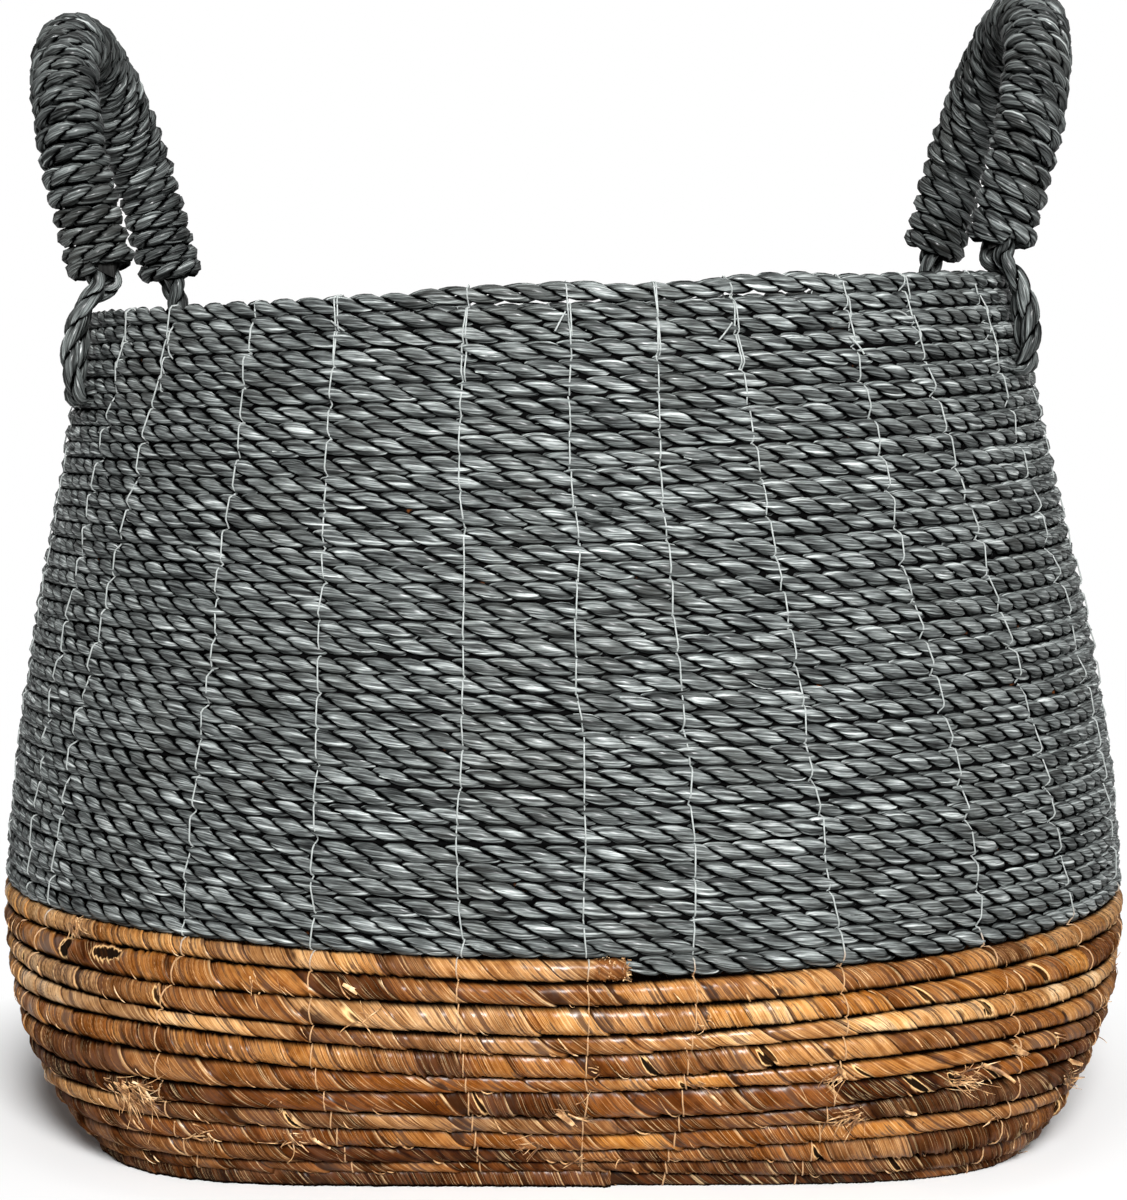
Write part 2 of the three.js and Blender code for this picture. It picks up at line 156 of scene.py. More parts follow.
def drawn_mesh(name, outline, runs):
    """Draws an outline along runs of points, each with its sizes."""
    curve = bpy.data.curves.new(name, "CURVE")
    curve.dimensions = "3D"
    curve.bevel_mode = "OBJECT"
    curve.bevel_object = outline
    curve.use_fill_caps = True
    for run, sizes in runs:
        spline = curve.splines.new("POLY")
        spline.points.add(len(run) - 1)
        places = np.column_stack([run, np.ones(len(run))])
        spline.points.foreach_set("co", places.astype("f").ravel())
        spline.points.foreach_set("radius", np.broadcast_to(sizes, len(run)).astype("f"))
    drawing = placed(name, curve)
    depsgraph = bpy.context.evaluated_depsgraph_get()
    mesh = bpy.data.meshes.new_from_object(drawing.evaluated_get(depsgraph), depsgraph=depsgraph)
    bpy.data.objects.remove(drawing)
    bpy.data.curves.remove(curve)
    mesh.name = name
    return mesh


weld_distance = 1e-7


def as_piece(mesh, material):
    """Joins a drawn mesh to its end caps and makes it a piece."""
    built = bmesh.new()
    built.from_mesh(mesh)
    bmesh.ops.remove_doubles(built, verts=built.verts, dist=weld_distance)
    for face in built.faces:
        face.smooth = True
    built.to_mesh(mesh)
    built.free()
    mesh.materials.append(material)
    piece = placed(mesh.name, mesh)
    return piece


def rope_piece(name, path, size, rings, values, outline, material, slot, rows=slice(None)):
    """Draws a rope's closed skin along a path, or along the given rows of it, lays it on its
    shaped rings and adds their values."""
    mesh = drawn_mesh(name, outline, [(path[rows], np.broadcast_to(size, len(path))[rows])])

    def with_ends(table):
        table = table[rows]
        ends_first = [table[-1], table[0], table.reshape(-1, table.shape[-1])]
        return np.concatenate(ends_first).astype("f").ravel()

    mesh.vertices.foreach_set("co", with_ends(rings))
    for key, table in values.items():
        layer = mesh.attributes.new(key, "FLOAT_VECTOR", "POINT")
        layer.data.foreach_set("vector", with_ends(table))
    return as_piece(mesh, material)


def rows_between(turns, first, last):
    """The rows of a path from one turn to another, both included."""
    return slice(np.searchsorted(turns, first),
                 min(np.searchsorted(turns, last) + 1, len(turns)))


# Rope wound with bark strips: the outline has one small lip, the strip's overlapping edge, and
# turns along the rope so that the lip runs slantwise round it.
bark_points = 20
bark_lip_share = 0.11
bark_seam_share = 0.008
bark_across = np.linspace(0, 1 - bark_seam_share, bark_points)
bark_lip = bark_lip_share * (bark_across - 0.5)
bark_outline = outline_shape("bark_outline", [
    ((1 + lip) * math.cos(full_turn * across), (1 + lip) * math.sin(full_turn * across))
    for across, lip in zip(bark_across, bark_lip)
])


def fill(tree, made, inputs):
    """Fills or links a node's inputs."""
    for key, value in inputs.items():
        if isinstance(value, bpy.types.NodeSocket):
            tree.links.new(value, made.inputs[key])
        else:
            made.inputs[key].default_value = value


def node(tree, kind, inputs=None, **settings):
    """Adds a shader node with its settings and inputs."""
    made = tree.nodes.new(kind)
    for key, value in settings.items():
        setattr(made, key, value)
    fill(tree, made, inputs or {})
    return made


def colour_steps(tree, value, steps):
    """A colour ramp through the given (place, colour) steps."""
    steps = list(steps)
    ramp = node(tree, "ShaderNodeValToRGB", {"Fac": value})
    elements = ramp.color_ramp.elements
    while len(elements) < len(steps):
        elements.new(0.5)
    for element, (place, colour) in zip(elements, steps):
        element.position = place
        element.color = (*colour, 1)
    return ramp.outputs["Color"]


def new_material(name):
    """A material with an empty tree, its Principled shader and its output."""
    made = bpy.data.materials.new(name)
    made.use_nodes = True
    tree = made.node_tree
    tree.nodes.clear()
    shader = node(tree, "ShaderNodeBsdfPrincipled")
    node(tree, "ShaderNodeOutputMaterial", {"Surface": shader.outputs[0]})
    return made, tree, shader


def mixed(tree, share, first, second):
    """Mixes two colours by a share and returns the colour."""
    mix = node(tree, "ShaderNodeMix", data_type="RGBA")
    for index, value in ((0, share), (6, first), (7, second)):
        if isinstance(value, tuple):
            value = (*value, 1)
        fill(tree, mix, {index: value})
    return mix.outputs[2]


def painted(tree, colour, layers):
    """Lays colours over one another, each by its share."""
    for share, layer in layers:
        colour = mixed(tree, share, colour, layer)
    return colour


def worked(tree, operation, first, second=0.0):
    """One step of arithmetic on two values."""
    return node(tree, "ShaderNodeMath", {0: first, 1: second}, operation=operation).outputs[0]


def plus(tree, first, second):
    return worked(tree, "ADD", first, second)


def times(tree, first, second):
    return worked(tree, "MULTIPLY", first, second)


def noise_at(tree, place, scale, detail, roughness=0.5):
    """Cloudy noise at a place."""
    return node(tree, "ShaderNodeTexNoise", {
        "Vector": place, "Scale": scale, "Detail": detail, "Roughness": roughness}).outputs["Fac"]


def noise(tree, scale, detail, roughness=0.5):
    """Cloudy noise over the object."""
    place = node(tree, "ShaderNodeTexCoord").outputs["Object"]
    return noise_at(tree, place, scale, detail, roughness)


def parted(tree, attribute):
    """The three values that an attribute of the mesh carries."""
    carried = node(tree, "ShaderNodeAttribute", attribute_name=attribute).outputs["Vector"]
    return node(tree, "ShaderNodeSeparateXYZ", {"Vector": carried}).outputs


def stretched(tree, value, low, high, to_low=0.0, to_high=1.0):
    """Spreads the part of a value between low and high."""
    spread = node(tree, "ShaderNodeMapRange", {
        "Value": value, "From Min": low, "From Max": high, "To Min": to_low, "To Max": to_high})
    return spread.outputs[0]


def eased(tree, value, low, high):
    """Rises softly from 0 to 1 between low and high."""
    spread = node(tree, "ShaderNodeMapRange", {"Value": value, "From Min": low, "From Max": high},
                  interpolation_type="SMOOTHSTEP")
    return spread.outputs[0]


def bumped(tree, height, strength, distance):
    """The normal of a surface raised by a height."""
    return node(tree, "ShaderNodeBump", {
        "Height": height, "Strength": strength, "Distance": distance}).outputs[0]


# Plant fibre that runs along a rope: fine streaks and broader creases, worked out on the
# rope's own straightened coordinates so that they follow its twist.
broad_fineness_share = 0.3
fibre_group = bpy.data.node_groups.new("fibre_streaks", "ShaderNodeTree")
for direction, kind, socket_name in [
    ("INPUT", "NodeSocketVector", "Straight"),
    ("INPUT", "NodeSocketFloat", "Stretch"),
    ("INPUT", "NodeSocketFloat", "Fineness"),
    ("OUTPUT", "NodeSocketFloat", "Fine"),
    ("OUTPUT", "NodeSocketFloat", "Broad"),
]:
    fibre_group.interface.new_socket(socket_name, in_out=direction, socket_type=kind)
given = node(fibre_group, "NodeGroupInput").outputs
straight = node(fibre_group, "ShaderNodeSeparateXYZ", {"Vector": given["Straight"]}).outputs
place = node(fibre_group, "ShaderNodeCombineXYZ", {
    "X": times(fibre_group, straight["X"], given["Stretch"]),
    "Y": straight["Y"], "Z": straight["Z"]}).outputs[0]
broad_fineness = times(fibre_group, given["Fineness"], broad_fineness_share)
node(fibre_group, "NodeGroupOutput", {
    "Fine": noise_at(fibre_group, place, given["Fineness"], 3.0, 0.6),
    "Broad": noise_at(fibre_group, place, broad_fineness, 2.0)})


def fibre_streaks(tree, stretch, fineness):
    """Fine streaks and broad ones along a rope's fibres."""
    straight = node(tree, "ShaderNodeAttribute", attribute_name="straight").outputs["Vector"]
    streaks = node(tree, "ShaderNodeGroup", {
        "Straight": straight, "Stretch": stretch, "Fineness": fineness}, node_tree=fibre_group)
    return streaks.outputs["Fine"], streaks.outputs["Broad"]


# Dried bark: a tone for each strip, along-grain streaks, stains and spots, painted shadow lines
# under the strips' overlapping edges with painted highlights on their lips, and painted shade in
# the crevices between the courses and in the wrinkle clefts.
bark_material, tree, shader = new_material("dried_bark_strips")
strip_tone, strip_across, strip_cleft_shade = parted(tree, "strip")
bark_side, bark_patch, bark_warmth = parted(tree, "bark")
bark_crevice_shade = eased(tree, worked(tree, "ABSOLUTE", bark_side), 0.66, 0.92)
bark_unshaded = worked(tree, "SUBTRACT", 1.0, bark_crevice_shade)
fine, broad = fibre_streaks(tree, 0.035, 1450.0)
clouds = noise(tree, 95.0, 4.0)
rough_parts = noise(tree, 60.0, 2.0)
streaky = stretched(tree, rough_parts, 0.40, 0.58, 0.30, 1.0)
# Noise patches in which the painted seam shadow is wider.
seam_shadow_spread = stretched(tree, noise(tree, 42.0, 3.0), 0.56, 0.66)
tone = strip_tone
for part in (
    stretched(tree, clouds, 0.3, 0.7, -0.17, 0.17),
    stretched(tree, broad, 0.35, 0.65, -0.13, 0.13),
    # painted shade: each strip darker towards its edge under the overlap
    stretched(tree, strip_across, 0.0, 0.22, -0.13, 0.0),
):
    tone = plus(tree, tone, part)
bark_tones = (0.0, 0.20, 0.42, 0.64, 0.84, 1.0)
golden = colour_steps(tree, tone, zip(bark_tones, [
    (0.012, 0.003, 0.001), (0.070, 0.019, 0.003), (0.200, 0.062, 0.008),
    (0.380, 0.150, 0.026), (0.560, 0.285, 0.085), (0.740, 0.480, 0.230)]))
dusty = colour_steps(tree, tone, zip(bark_tones, [
    (0.010, 0.004, 0.002), (0.056, 0.020, 0.006), (0.165, 0.073, 0.025),
    (0.350, 0.185, 0.075), (0.570, 0.345, 0.165), (0.780, 0.570, 0.350)]))
bark_colour = mixed(tree, bark_warmth, dusty, golden)
dark_streaks = times(tree, streaky, stretched(tree, fine, 0.51, 0.62, 0.0, 0.95))
stains = plus(tree, broad, stretched(tree, clouds, 0.3, 0.7, -0.1, 0.1))
spots = noise(tree, 210.0, 4.0, 0.65)
# The overlap's edge gets a painted shadow line, the shade under the strip's lip, wider and ragged
# in patches. The lip's raised edge gets a painted highlight.
seam_shadow_width = stretched(tree, seam_shadow_spread, 0.0, 1.0, 0.05, 0.42)
seam_shadow = stretched(tree, worked(tree, "DIVIDE", strip_across, seam_shadow_width), 0.0, 1.0, 1.0, 0.0)
ragged_seam_shadow = times(tree, seam_shadow, stretched(tree, broad, 0.40, 0.52, 0.45, 1.0))
lip_highlight = times(tree, stretched(tree, strip_across, 0.94, 0.99, 0.0, 0.50),
                  stretched(tree, rough_parts, 0.48, 0.56))
# Round a hole or missing strip the torn lip is painted pale as a highlight, and the opening
# near-black as shade.
torn_lip_highlight = times(tree, stretched(tree, bark_patch, 0.04, 0.25),
                  stretched(tree, bark_patch, 0.55, 0.35))
torn_open_shade = times(tree, stretched(tree, bark_patch, 0.3, 0.6),
                  stretched(tree, broad, 0.36, 0.50, 0.72, 0.99))
bark_colour = painted(tree, bark_colour, [
    (dark_streaks, (0.070, 0.018, 0.003)),
    (stretched(tree, fine, 0.43, 0.33, 0.0, 0.40), (0.850, 0.600, 0.320)),
    (stretched(tree, stains, 0.555, 0.64, 0.0, 0.88), (0.060, 0.018, 0.005)),
    # painted shade in the clefts of the crumpled wrinkles
    (times(tree, strip_cleft_shade, 0.85), (0.060, 0.020, 0.005)),
    (stretched(tree, spots, 0.66, 0.72, 0.0, 0.85), (0.030, 0.010, 0.004)),
    (stretched(tree, ragged_seam_shadow, 0.12, 0.55, 0.0, 0.95), (0.030, 0.010, 0.003)),
    (lip_highlight, (0.820, 0.570, 0.300)),
    (torn_lip_highlight, (0.700, 0.440, 0.200)),
    (torn_open_shade, (0.008, 0.005, 0.003)),
])
# Painted shade: near-black in the crevices between the courses and along the floor.
bark_colour = mixed(tree, bark_unshaded, (0.0015, 0.0007, 0.0004), bark_colour)
polish = bark_unshaded
for part in (
    stretched(tree, clouds, 0.40, 0.62, 0.10, 0.60),
    stretched(tree, bark_patch, 0.1, 0.4, 1.0, 0.05),
    stretched(tree, tone, 0.1, 0.6, 0.25, 1.0),
):
    polish = times(tree, polish, part)
relief = plus(tree, times(tree, broad, 1.2), times(tree, fine, -1.0))
fill(tree, shader, {
    "Base Color": bark_colour,
    "Roughness": stretched(tree, bark_unshaded, 0.0, 1.0, 0.85, 0.5),
    "Specular IOR Level": 0.0,
    "Coat Weight": polish,
    "Coat Roughness": 0.30,
    "Normal": bumped(tree, relief, 0.60, 0.0006),
})
bark_strip_pitch = 0.021
pitch_sway, pitch_least, pitch_most = 0.4, 0.7, 2.2
lip_sway, lip_sway_spacing = 0.55, 0.03
strip_sway_spacing = 0.045
wrinkle_spacing = 0.016
fine_wrinkle_spacing = 0.0044
tear_reach = 0.03
tear_depth = 0.22
tear_fringe = 0.0012
same_strip_share = 0.3
strip_tone_spread = 0.19
strip_warmth_spread = 0.36
crumple_darkening = 0.20


def bark_skin(path, outward, radius, along, tones, warmths, seed, gaps=(), holes=(), crumpling=1.0):
    """The rings and values of a bark-wound rope. At gaps (place along it, half width, facing),
    where a strip is missing, and at holes (place, facing, half length, half angle) the rope is
    dented, its opening painted near-black as shade and its torn lip painted pale as a highlight."""
    rng = np.random.default_rng(seed)
    up = np.cross(outward, heading(path))
    sway = wander(along, strip_sway_spacing, rng)[:, 0]
    pitch = bark_strip_pitch * np.clip(np.exp(pitch_sway * sway), pitch_least, pitch_most)
    turns = np.concatenate([[0], np.cumsum(np.diff(along) / pitch[1:])])
    wound = bark_across[None] - turns[:, None]
    facing = full_turn * (np.mod(wound + 0.5, 1) - 0.5)
    lip = bark_lip[None] * np.exp(lip_sway * wander(along, lip_sway_spacing, rng))
    crumpled = crumpling * smooth(wander(along, strip_sway_spacing, rng)[:, 0] - 0.35)
    fine = wander(along, fine_wrinkle_spacing, rng, bark_points)
    wrinkles = (0.026 * wander(along, wrinkle_spacing, rng, bark_points)
                + (0.016 + 0.05 * crumpled)[:, None] * fine)
    missing = np.zeros(facing.shape)
    for place, rise, half_length, half_angle in holes:
        near = np.abs(along - place) < tear_reach
        off = np.hypot((along[near, None] - place) / half_length,
                       (facing[near] - rise) / half_angle)
        missing[near] = np.maximum(missing[near], smooth((1 - off) / 0.35 + 0.5))
    for place, half_width, middle in gaps:
        near = np.abs(along - place) < tear_reach
        off = along[near, None] - place + pitch[near, None] * facing[near] / full_turn
        narrowed = half_width * (1.1 - ((facing[near] - middle) / 1.1) ** 2)
        torn = smooth((narrowed - np.abs(off)) / tear_fringe + 0.5)
        missing[near] = np.maximum(missing[near], torn)
    size = radius[:, None] * (1 + lip + wrinkles - tear_depth * missing)
    rings = (path[:, None] + (size * np.cos(facing))[..., None] * outward[:, None]
             + (size * np.sin(facing))[..., None] * up[:, None])
    # Each pass of the strip round the rope gets its own tone, changing at the strip's edge.
    passes = np.floor(wound - 0.25).astype(int)
    passes -= passes.min()
    fresh = rng.random((passes.max() + 2, 2))
    keep = rng.random(len(fresh)) < same_strip_share
    for index in range(1, len(fresh)):
        if keep[index]:
            fresh[index] = fresh[index - 1]
    tone = (tones[:, None] + strip_tone_spread * (2 * fresh[passes, 0] - 1)
            - crumple_darkening * crumpled[:, None])
    warmth = np.clip(warmths[:, None] + strip_warmth_spread * (2 * fresh[passes, 1] - 1), 0, 1)
    # Painted shade in the dents of the fine wrinkles where the strip is crumpled.
    cleft_shade = np.clip(-fine - 0.7, 0, 1) * np.clip(crumpled + 0.15, 0, 1)[:, None]
    across = np.broadcast_to(bark_across, facing.shape)
    values = {
        "straight": np.stack([
            np.broadcast_to(along[:, None], facing.shape),
            radius[:, None] * np.cos(full_turn * across),
            radius[:, None] * np.sin(full_turn * across)], -1),
        "strip": np.stack([tone, across, cleft_shade], -1),
        "bark": np.stack([np.sin(facing), missing, warmth], -1),
    }
    return rings, values


lit_height = 0.0042


def floor_contact_shaded(facing_side, rings):
    """Counts the lowest millimetres, hard on the floor, as the depth of a crevice, so that they get
    painted contact shadow.
    """
    lit = smooth((rings[..., 2] + 0.0002) / lit_height)
    return facing_side * lit - (1 - lit)


heel_squareness = 4.8
bark_rope_rise = 0.0076
base_rope_radius = 0.0041
base_rope_width = 0.0076
base_turns = 22
base_first_turn = -0.3
base_start_radius = 0.00102
base_edge_radius = 0.1758
base_middle_height = 0.0038
base_fill_share = 0.54
base_crumpling = 0.35
base_step = 0.0034
bark_step = 0.00125


def spiral_size(turns):
    radius = base_start_radius + base_rope_width * (turns + 0.5)
    exponent = 2 + (heel_squareness - 2) * (radius / base_edge_radius) ** 2
    return radius * square_factor(angle_at(turns), exponent)


# The outermost turn lies against the wall's first course, first beside it and then under it.
course_inset = 0.0049
course_contact = 0.0091
corner_thickening = 0.65
course_parts = np.linspace(0, 1, 121)
course_height = bark_rope_rise * (course_parts + 0.5)
course_corner = square_factor(angle_at(course_parts), heel_squareness)
course_middle = outer_radius(course_height) * course_corner - course_inset
course_reach = course_contact * (1 + corner_thickening * (course_corner - 1))
against = course_middle - np.sqrt(course_reach ** 2 - (course_height - base_middle_height) ** 2)
widening = against / spiral_size(base_turns - 1 + course_parts) - 1
widening_round = widening - np.interp(course_parts, [0, 1], widening[[0, -1]])


def base_size(turns):
    """The spiral's radius: its outer turns widen towards the wall."""
    outward_share = np.clip(turns / (base_turns - 1), 0, 1) ** 2
    wider = outward_share * (widening[0] + np.interp(turns % 1, course_parts, widening_round))
    wider = wider + (widening[-1] - widening[0]) * np.clip(turns - base_turns + 1, 0, 1)
    return spiral_size(turns) * (1 + wider)


def base_place(turns):
    angle, size = angle_at(turns), base_size(turns)
    return np.stack([size * np.cos(angle), size * np.sin(angle),
                     0 * turns + base_middle_height], -1)


def rope_frame(path, upward):
    """Outward and upward directions square to the path."""
    ahead = heading(path)
    outward = unit(np.cross(ahead, upward))
    return outward, np.cross(outward, ahead)


# The spiral's last turn shows at the front, so it has finer rings than the rest.
inner_turns, inner_along = even_path(base_place, base_first_turn, base_turns - 1, base_step)
outer_turns, outer_along = even_path(base_place, base_turns - 1, base_turns, bark_step)
turns = np.concatenate([inner_turns, outer_turns[1:]])
along = np.concatenate([inner_along, inner_along[-1] + outer_along[1:]])
path = base_place(turns)
outward, _ = rope_frame(path, np.broadcast_to([0.0, 0.0, 1.0], path.shape))
rng = np.random.default_rng(5)
tones = 0.46 + 0.1 * wander(along, 0.2, rng)[:, 0]
warmths = 0.5 + 0.3 * wander(along, 0.3, rng)[:, 0]
# The rope fills the way to the turn inside it, and is pressed no higher for that.
between = base_size(turns) - base_size(np.maximum(turns - 1, 0))
between = np.where(turns > 1, between, base_rope_width)
radius = base_fill_share * between * (1 + 0.03 * wander(along, 0.06, rng)[:, 0])
tones += (0.05 - tones) * smooth((turns - base_turns + 1.2) / 1.2)
rings, values = bark_skin(path, outward, radius, along, tones, warmths, 11,
                          crumpling=base_crumpling)
pressed = np.minimum(base_rope_radius / radius, 1)
pressed = pressed + (1 - pressed) * smooth((turns - base_turns + 0.3) / 0.3)
rings[..., 2] = base_middle_height + (rings[..., 2] - base_middle_height) * pressed[:, None]
rings[..., 2] = np.maximum(rings[..., 2], 0.0)
values["bark"][..., 0] = floor_contact_shaded(values["bark"][..., 0], rings)
base = rope_piece("base_coil_rope", path, radius, rings, values, bark_outline, bark_material,
                  "bark_rope")
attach(base, "basket")
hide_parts("base_coil")


# ==== Lower wall of bark-wound rope ====
# The base's rope turns up at the heel and climbs the lower wall for eleven courses, each
# stitched on the one below. Its diameter is uneven, and it ends cut off blunt at the front.
bark_courses = 11
bark_rope_thickness = 0.008
square_fade_height = 0.092
rim_tilt = 0.007
rim_shift = -0.005
rim_tilt_start = 0.120
bark_fill_share = 0.53
bark_inward_share = 0.6
chopped_length, chopped_fringe = 0.012, 0.003
chopped_raggedness = 0.07


def wall_point(angle, height, inset):
    """A point on the wall, with the lean of the handwork in its upper part."""
    exponent = heel_squareness + (2 - heel_squareness) * smooth(height / square_fade_height)
    radius = outer_radius(height) * square_factor(angle, exponent) - inset
    x = radius * np.cos(angle)
    share = smooth((height - rim_tilt_start) / (rim_height - rim_tilt_start))
    return np.stack([
        x + rim_shift * share,
        radius * np.sin(angle),
        height + rim_tilt * share * x / rim_radius,
    ], -1)


# The rope's height in each course from the top one down, at places round the front (degrees from
# +X). Elsewhere it is as uneven, but not copied.
front_girths = {
    232: [7, 10, 8.5, 5, 9, 11, 7, 7, 8, 8.5, 5],
    246: [7.5, 9, 8.5, 7, 9, 9.5, 8, 7.5, 7.5, 7, 4.5],
    256: [7.5, 8.5, 12, 6.5, 10, 6, 10, 6.5, 8.5, 6.5, 5],
    272: [10, 8, 11.5, 8, 9, 5.5, 11.5, 7.5, 7, 5, 4],
    291: [8.5, 9.5, 5, 10, 6, 12, 5, 8, 6.5, 7, 5],
    297: [9, 7, 7, 9, 8.5, 8, 7.5, 8.5, 9, 6, 5],
    314: [7.5, 8.5, 7.5, 6, 6, 6.5, 11.5, 6, 11.5, 8, 4.5],
}
other_girths = range(336, 570, 26)
mean_girth = 7.6
girth_rng = np.random.default_rng(21)
girths = dict(front_girths)
for degrees in other_girths:
    girths[degrees % 360] = mean_girth * np.exp(0.2 * girth_rng.normal(size=bark_courses))
edge_knots = [(end, end) for end in (0, 1, bark_courses, bark_courses + 1)]
for degrees, column in girths.items():
    start = turn_part(degrees)
    risen = np.cumsum(column[::-1])
    risen = start + bark_courses * risen / risen[-1]
    edge_knots += [(start + course + 1, risen[course]) for course in range(bark_courses - 1)]
edge_knots = np.array(sorted(edge_knots))
edge_turns = np.linspace(0, bark_courses + 1, 120 * (bark_courses + 1) + 1)
edge_rise = np.interp(edge_turns, edge_knots[:, 0], edge_knots[:, 1])
edge_window = np.hanning(11) / np.hanning(11).sum()
edge_rise[5:-5] = np.convolve(edge_rise, edge_window, "valid")


def bark_edge(turns):
    """Height of the rope's lower edge, uneven from course to course as the rope's diameter is."""
    return bark_rope_rise * np.interp(turns, edge_turns, edge_rise)


def bark_height(turns):
    return (bark_edge(turns) + bark_edge(turns + 1)) / 2


def bark_place(turns):
    return wall_point(angle_at(turns), bark_height(turns), bark_rope_thickness / 2)


def course_frame(edge, thickness, turns):
    """A course's height along the wall and its upward direction, from its two edges."""
    rise = (wall_point(angle_at(turns), edge(turns + 1), thickness / 2)
            - wall_point(angle_at(turns), edge(turns), thickness / 2))
    return np.linalg.norm(rise, axis=1), unit(rise)


turns, along = even_path(bark_place, 0, bark_courses, bark_step)
path = bark_place(turns)
spacing, upward = course_frame(bark_edge, bark_rope_thickness, turns)
outward, up = rope_frame(path, upward)
rng = np.random.default_rng(8)
radius = bark_fill_share * spacing
radius *= 1 + 0.03 * wander(along, 0.05, rng)[:, 0] + 0.022 * wander(along, 0.014, rng)[:, 0]
path = path - outward * (radius - bark_rope_thickness / 2)[:, None] * bark_inward_share
bark_tone_steps = [0.06, 0.24, 0.38, 0.46, 0.30, 0.32, 0.46, 0.56, 0.66, 0.64, 0.54, 0.60]
bark_warmth_steps = [0.6, 0.7, 0.4, 1.0, 0.1, 0.85, 0.6, 0.5, 0.2, 0.5, 0.5, 0.45]
course_ends = range(bark_courses + 1)
tones = np.interp(turns, course_ends, bark_tone_steps) + 0.08 * wander(along, 0.2, rng)[:, 0]
warmths = np.interp(turns, course_ends, bark_warmth_steps) + 0.2 * wander(along, 0.2, rng)[:, 0]
bark_wall = {"turns": turns, "along": along, "path": path, "outward": outward, "up": up,
             "half": radius, "ahead": heading(path)}


def rope_at(rope, turn):
    """The rope's middle, directions and sizes at one turn."""
    return {key: np.array([np.interp(turn, rope["turns"], column) for column in
                           np.atleast_2d(rows.T)]) for key, rows in rope.items() if key != "turns"}


def bark_turn_at(degrees, height):
    """The turn of the rope that passes a place on the lower wall."""
    courses = turn_part(degrees) + np.arange(bark_courses)
    courses = courses[courses < bark_courses]
    return courses[np.argmin(np.abs(bark_height(courses) - height))]


def bark_length_at(degrees, height):
    """The length along the rope at a place on the lower wall."""
    return np.interp(bark_turn_at(degrees, height), bark_wall["turns"], bark_wall["along"])


# Where a strip is missing: degrees from +X, height and half width.
bark_gaps = [
    (278.1, 0.0540, 0.0010), (288.4, 0.0558, 0.0014), (289.1, 0.0534, 0.0012),
    (303.0, 0.0686, 0.0012), (309.5, 0.0632, 0.0012), (317.8, 0.0694, 0.0012),
    (306.0, 0.0421, 0.0030), (302.5, 0.0400, 0.0016), (251.0, 0.0700, 0.0009),
    (262.0, 0.0400, 0.0007), (296.0, 0.0200, 0.0012), (244.0, 0.0300, 0.0009),
]
random_gaps = 22
gaps = [(bark_length_at(degrees, height), half_width, rng.uniform(-0.7, 0.7))
        for degrees, height, half_width in bark_gaps]
gaps += [(place, 0.0006 + 0.0012 * rng.random(), rng.uniform(-0.8, 0.8))
         for place in rng.random(random_gaps) * along[-1]]
# Slits torn in a strip: degrees from +X, height, facing, half length, half angle.
bark_holes = [
    (223.7, 0.0795, 0.25, 0.0085, 0.42), (216.9, 0.0769, 0.0, 0.0036, 0.85),
    (309.5, 0.0632, -0.4, 0.0022, 0.40), (322.0, 0.0160, 0.0, 0.0035, 0.80),
]
holes = [(bark_length_at(degrees, height), *shape) for degrees, height, *shape in bark_holes]
# The last centimetre is chopped off and frayed.
chopped = smooth((along - along[-1] + chopped_length) / chopped_fringe)
tones = tones - 0.24 * chopped
warmths = warmths + 0.5 * chopped
radius = radius * (1 + 0.05 * chopped)
rings, values = bark_skin(path, outward, radius, along, tones, warmths, 30, gaps, holes)
ragged = np.random.default_rng(31).normal(size=rings.shape[:2])
ragged = chopped_raggedness * ragged * chopped[:, None]
rings = rings + (rings - path[:, None]) * ragged[..., None]
rings[..., 2] = np.maximum(rings[..., 2], 0.0)
values["bark"][..., 0] = floor_contact_shaded(values["bark"][..., 0], rings)
bark_bands = [(0, 4.0), (4.0, 7.6), (7.6, bark_courses)]
for number, (first, last) in enumerate(bark_bands, 1):
    coil = rope_piece(f"bark_rope_coil_{number}", path, radius, rings, values, bark_outline,
                      bark_material, "bark_rope", rows_between(turns, first, last))
    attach(coil, "basket")
    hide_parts("bark_rope_wall")


# ==== Upper wall of grey twisted rope ====
# A two-strand rope of dark slate raffia starts beside the bark rope's cut end and climbs to the
# rim in close courses. Each strand is a twisted bundle of flat, slightly shiny fibres.
grey_turns = 36 + 2 / 3
grey_foot = 0.0839
grey_rise = (rim_height - grey_foot - bark_rope_rise) / grey_turns
grey_thickness = 0.0067
grey_fill_share = 0.55
grey_lay = 0.0225
strand_step = 0.0023
strand_reach = 0.47
strand_size = 0.57
strand_thickness = 0.94
strand_width = 1.20
strand_inner_share = 0.8
strand_fibre_lay = 0.055
lump_length = 0.0115
grey_start_length = 0.012
rim_sag, sag_from, sag_turns = 0.004, 29, 7.3
rim_lift, lift_turns = 0.0013, 0.012
rim_tuck, tuck_turns = 0.0065, 0.035
rim_gaps = [(35.940, 36.006), (36.032, 36.080)]
strand_crease_sizes = np.array([1.07, 0.90, 1.04, 0.93, 1.09, 0.88, 1.05, 0.94, 1.06, 0.89])
strand_points = len(strand_crease_sizes)
strand_angles = np.arange(strand_points) * full_turn / strand_points
strand_outline = outline_shape("strand_outline", [
    (size * math.cos(angle), size * math.sin(angle))
    for size, angle in zip(strand_crease_sizes, strand_angles)
])

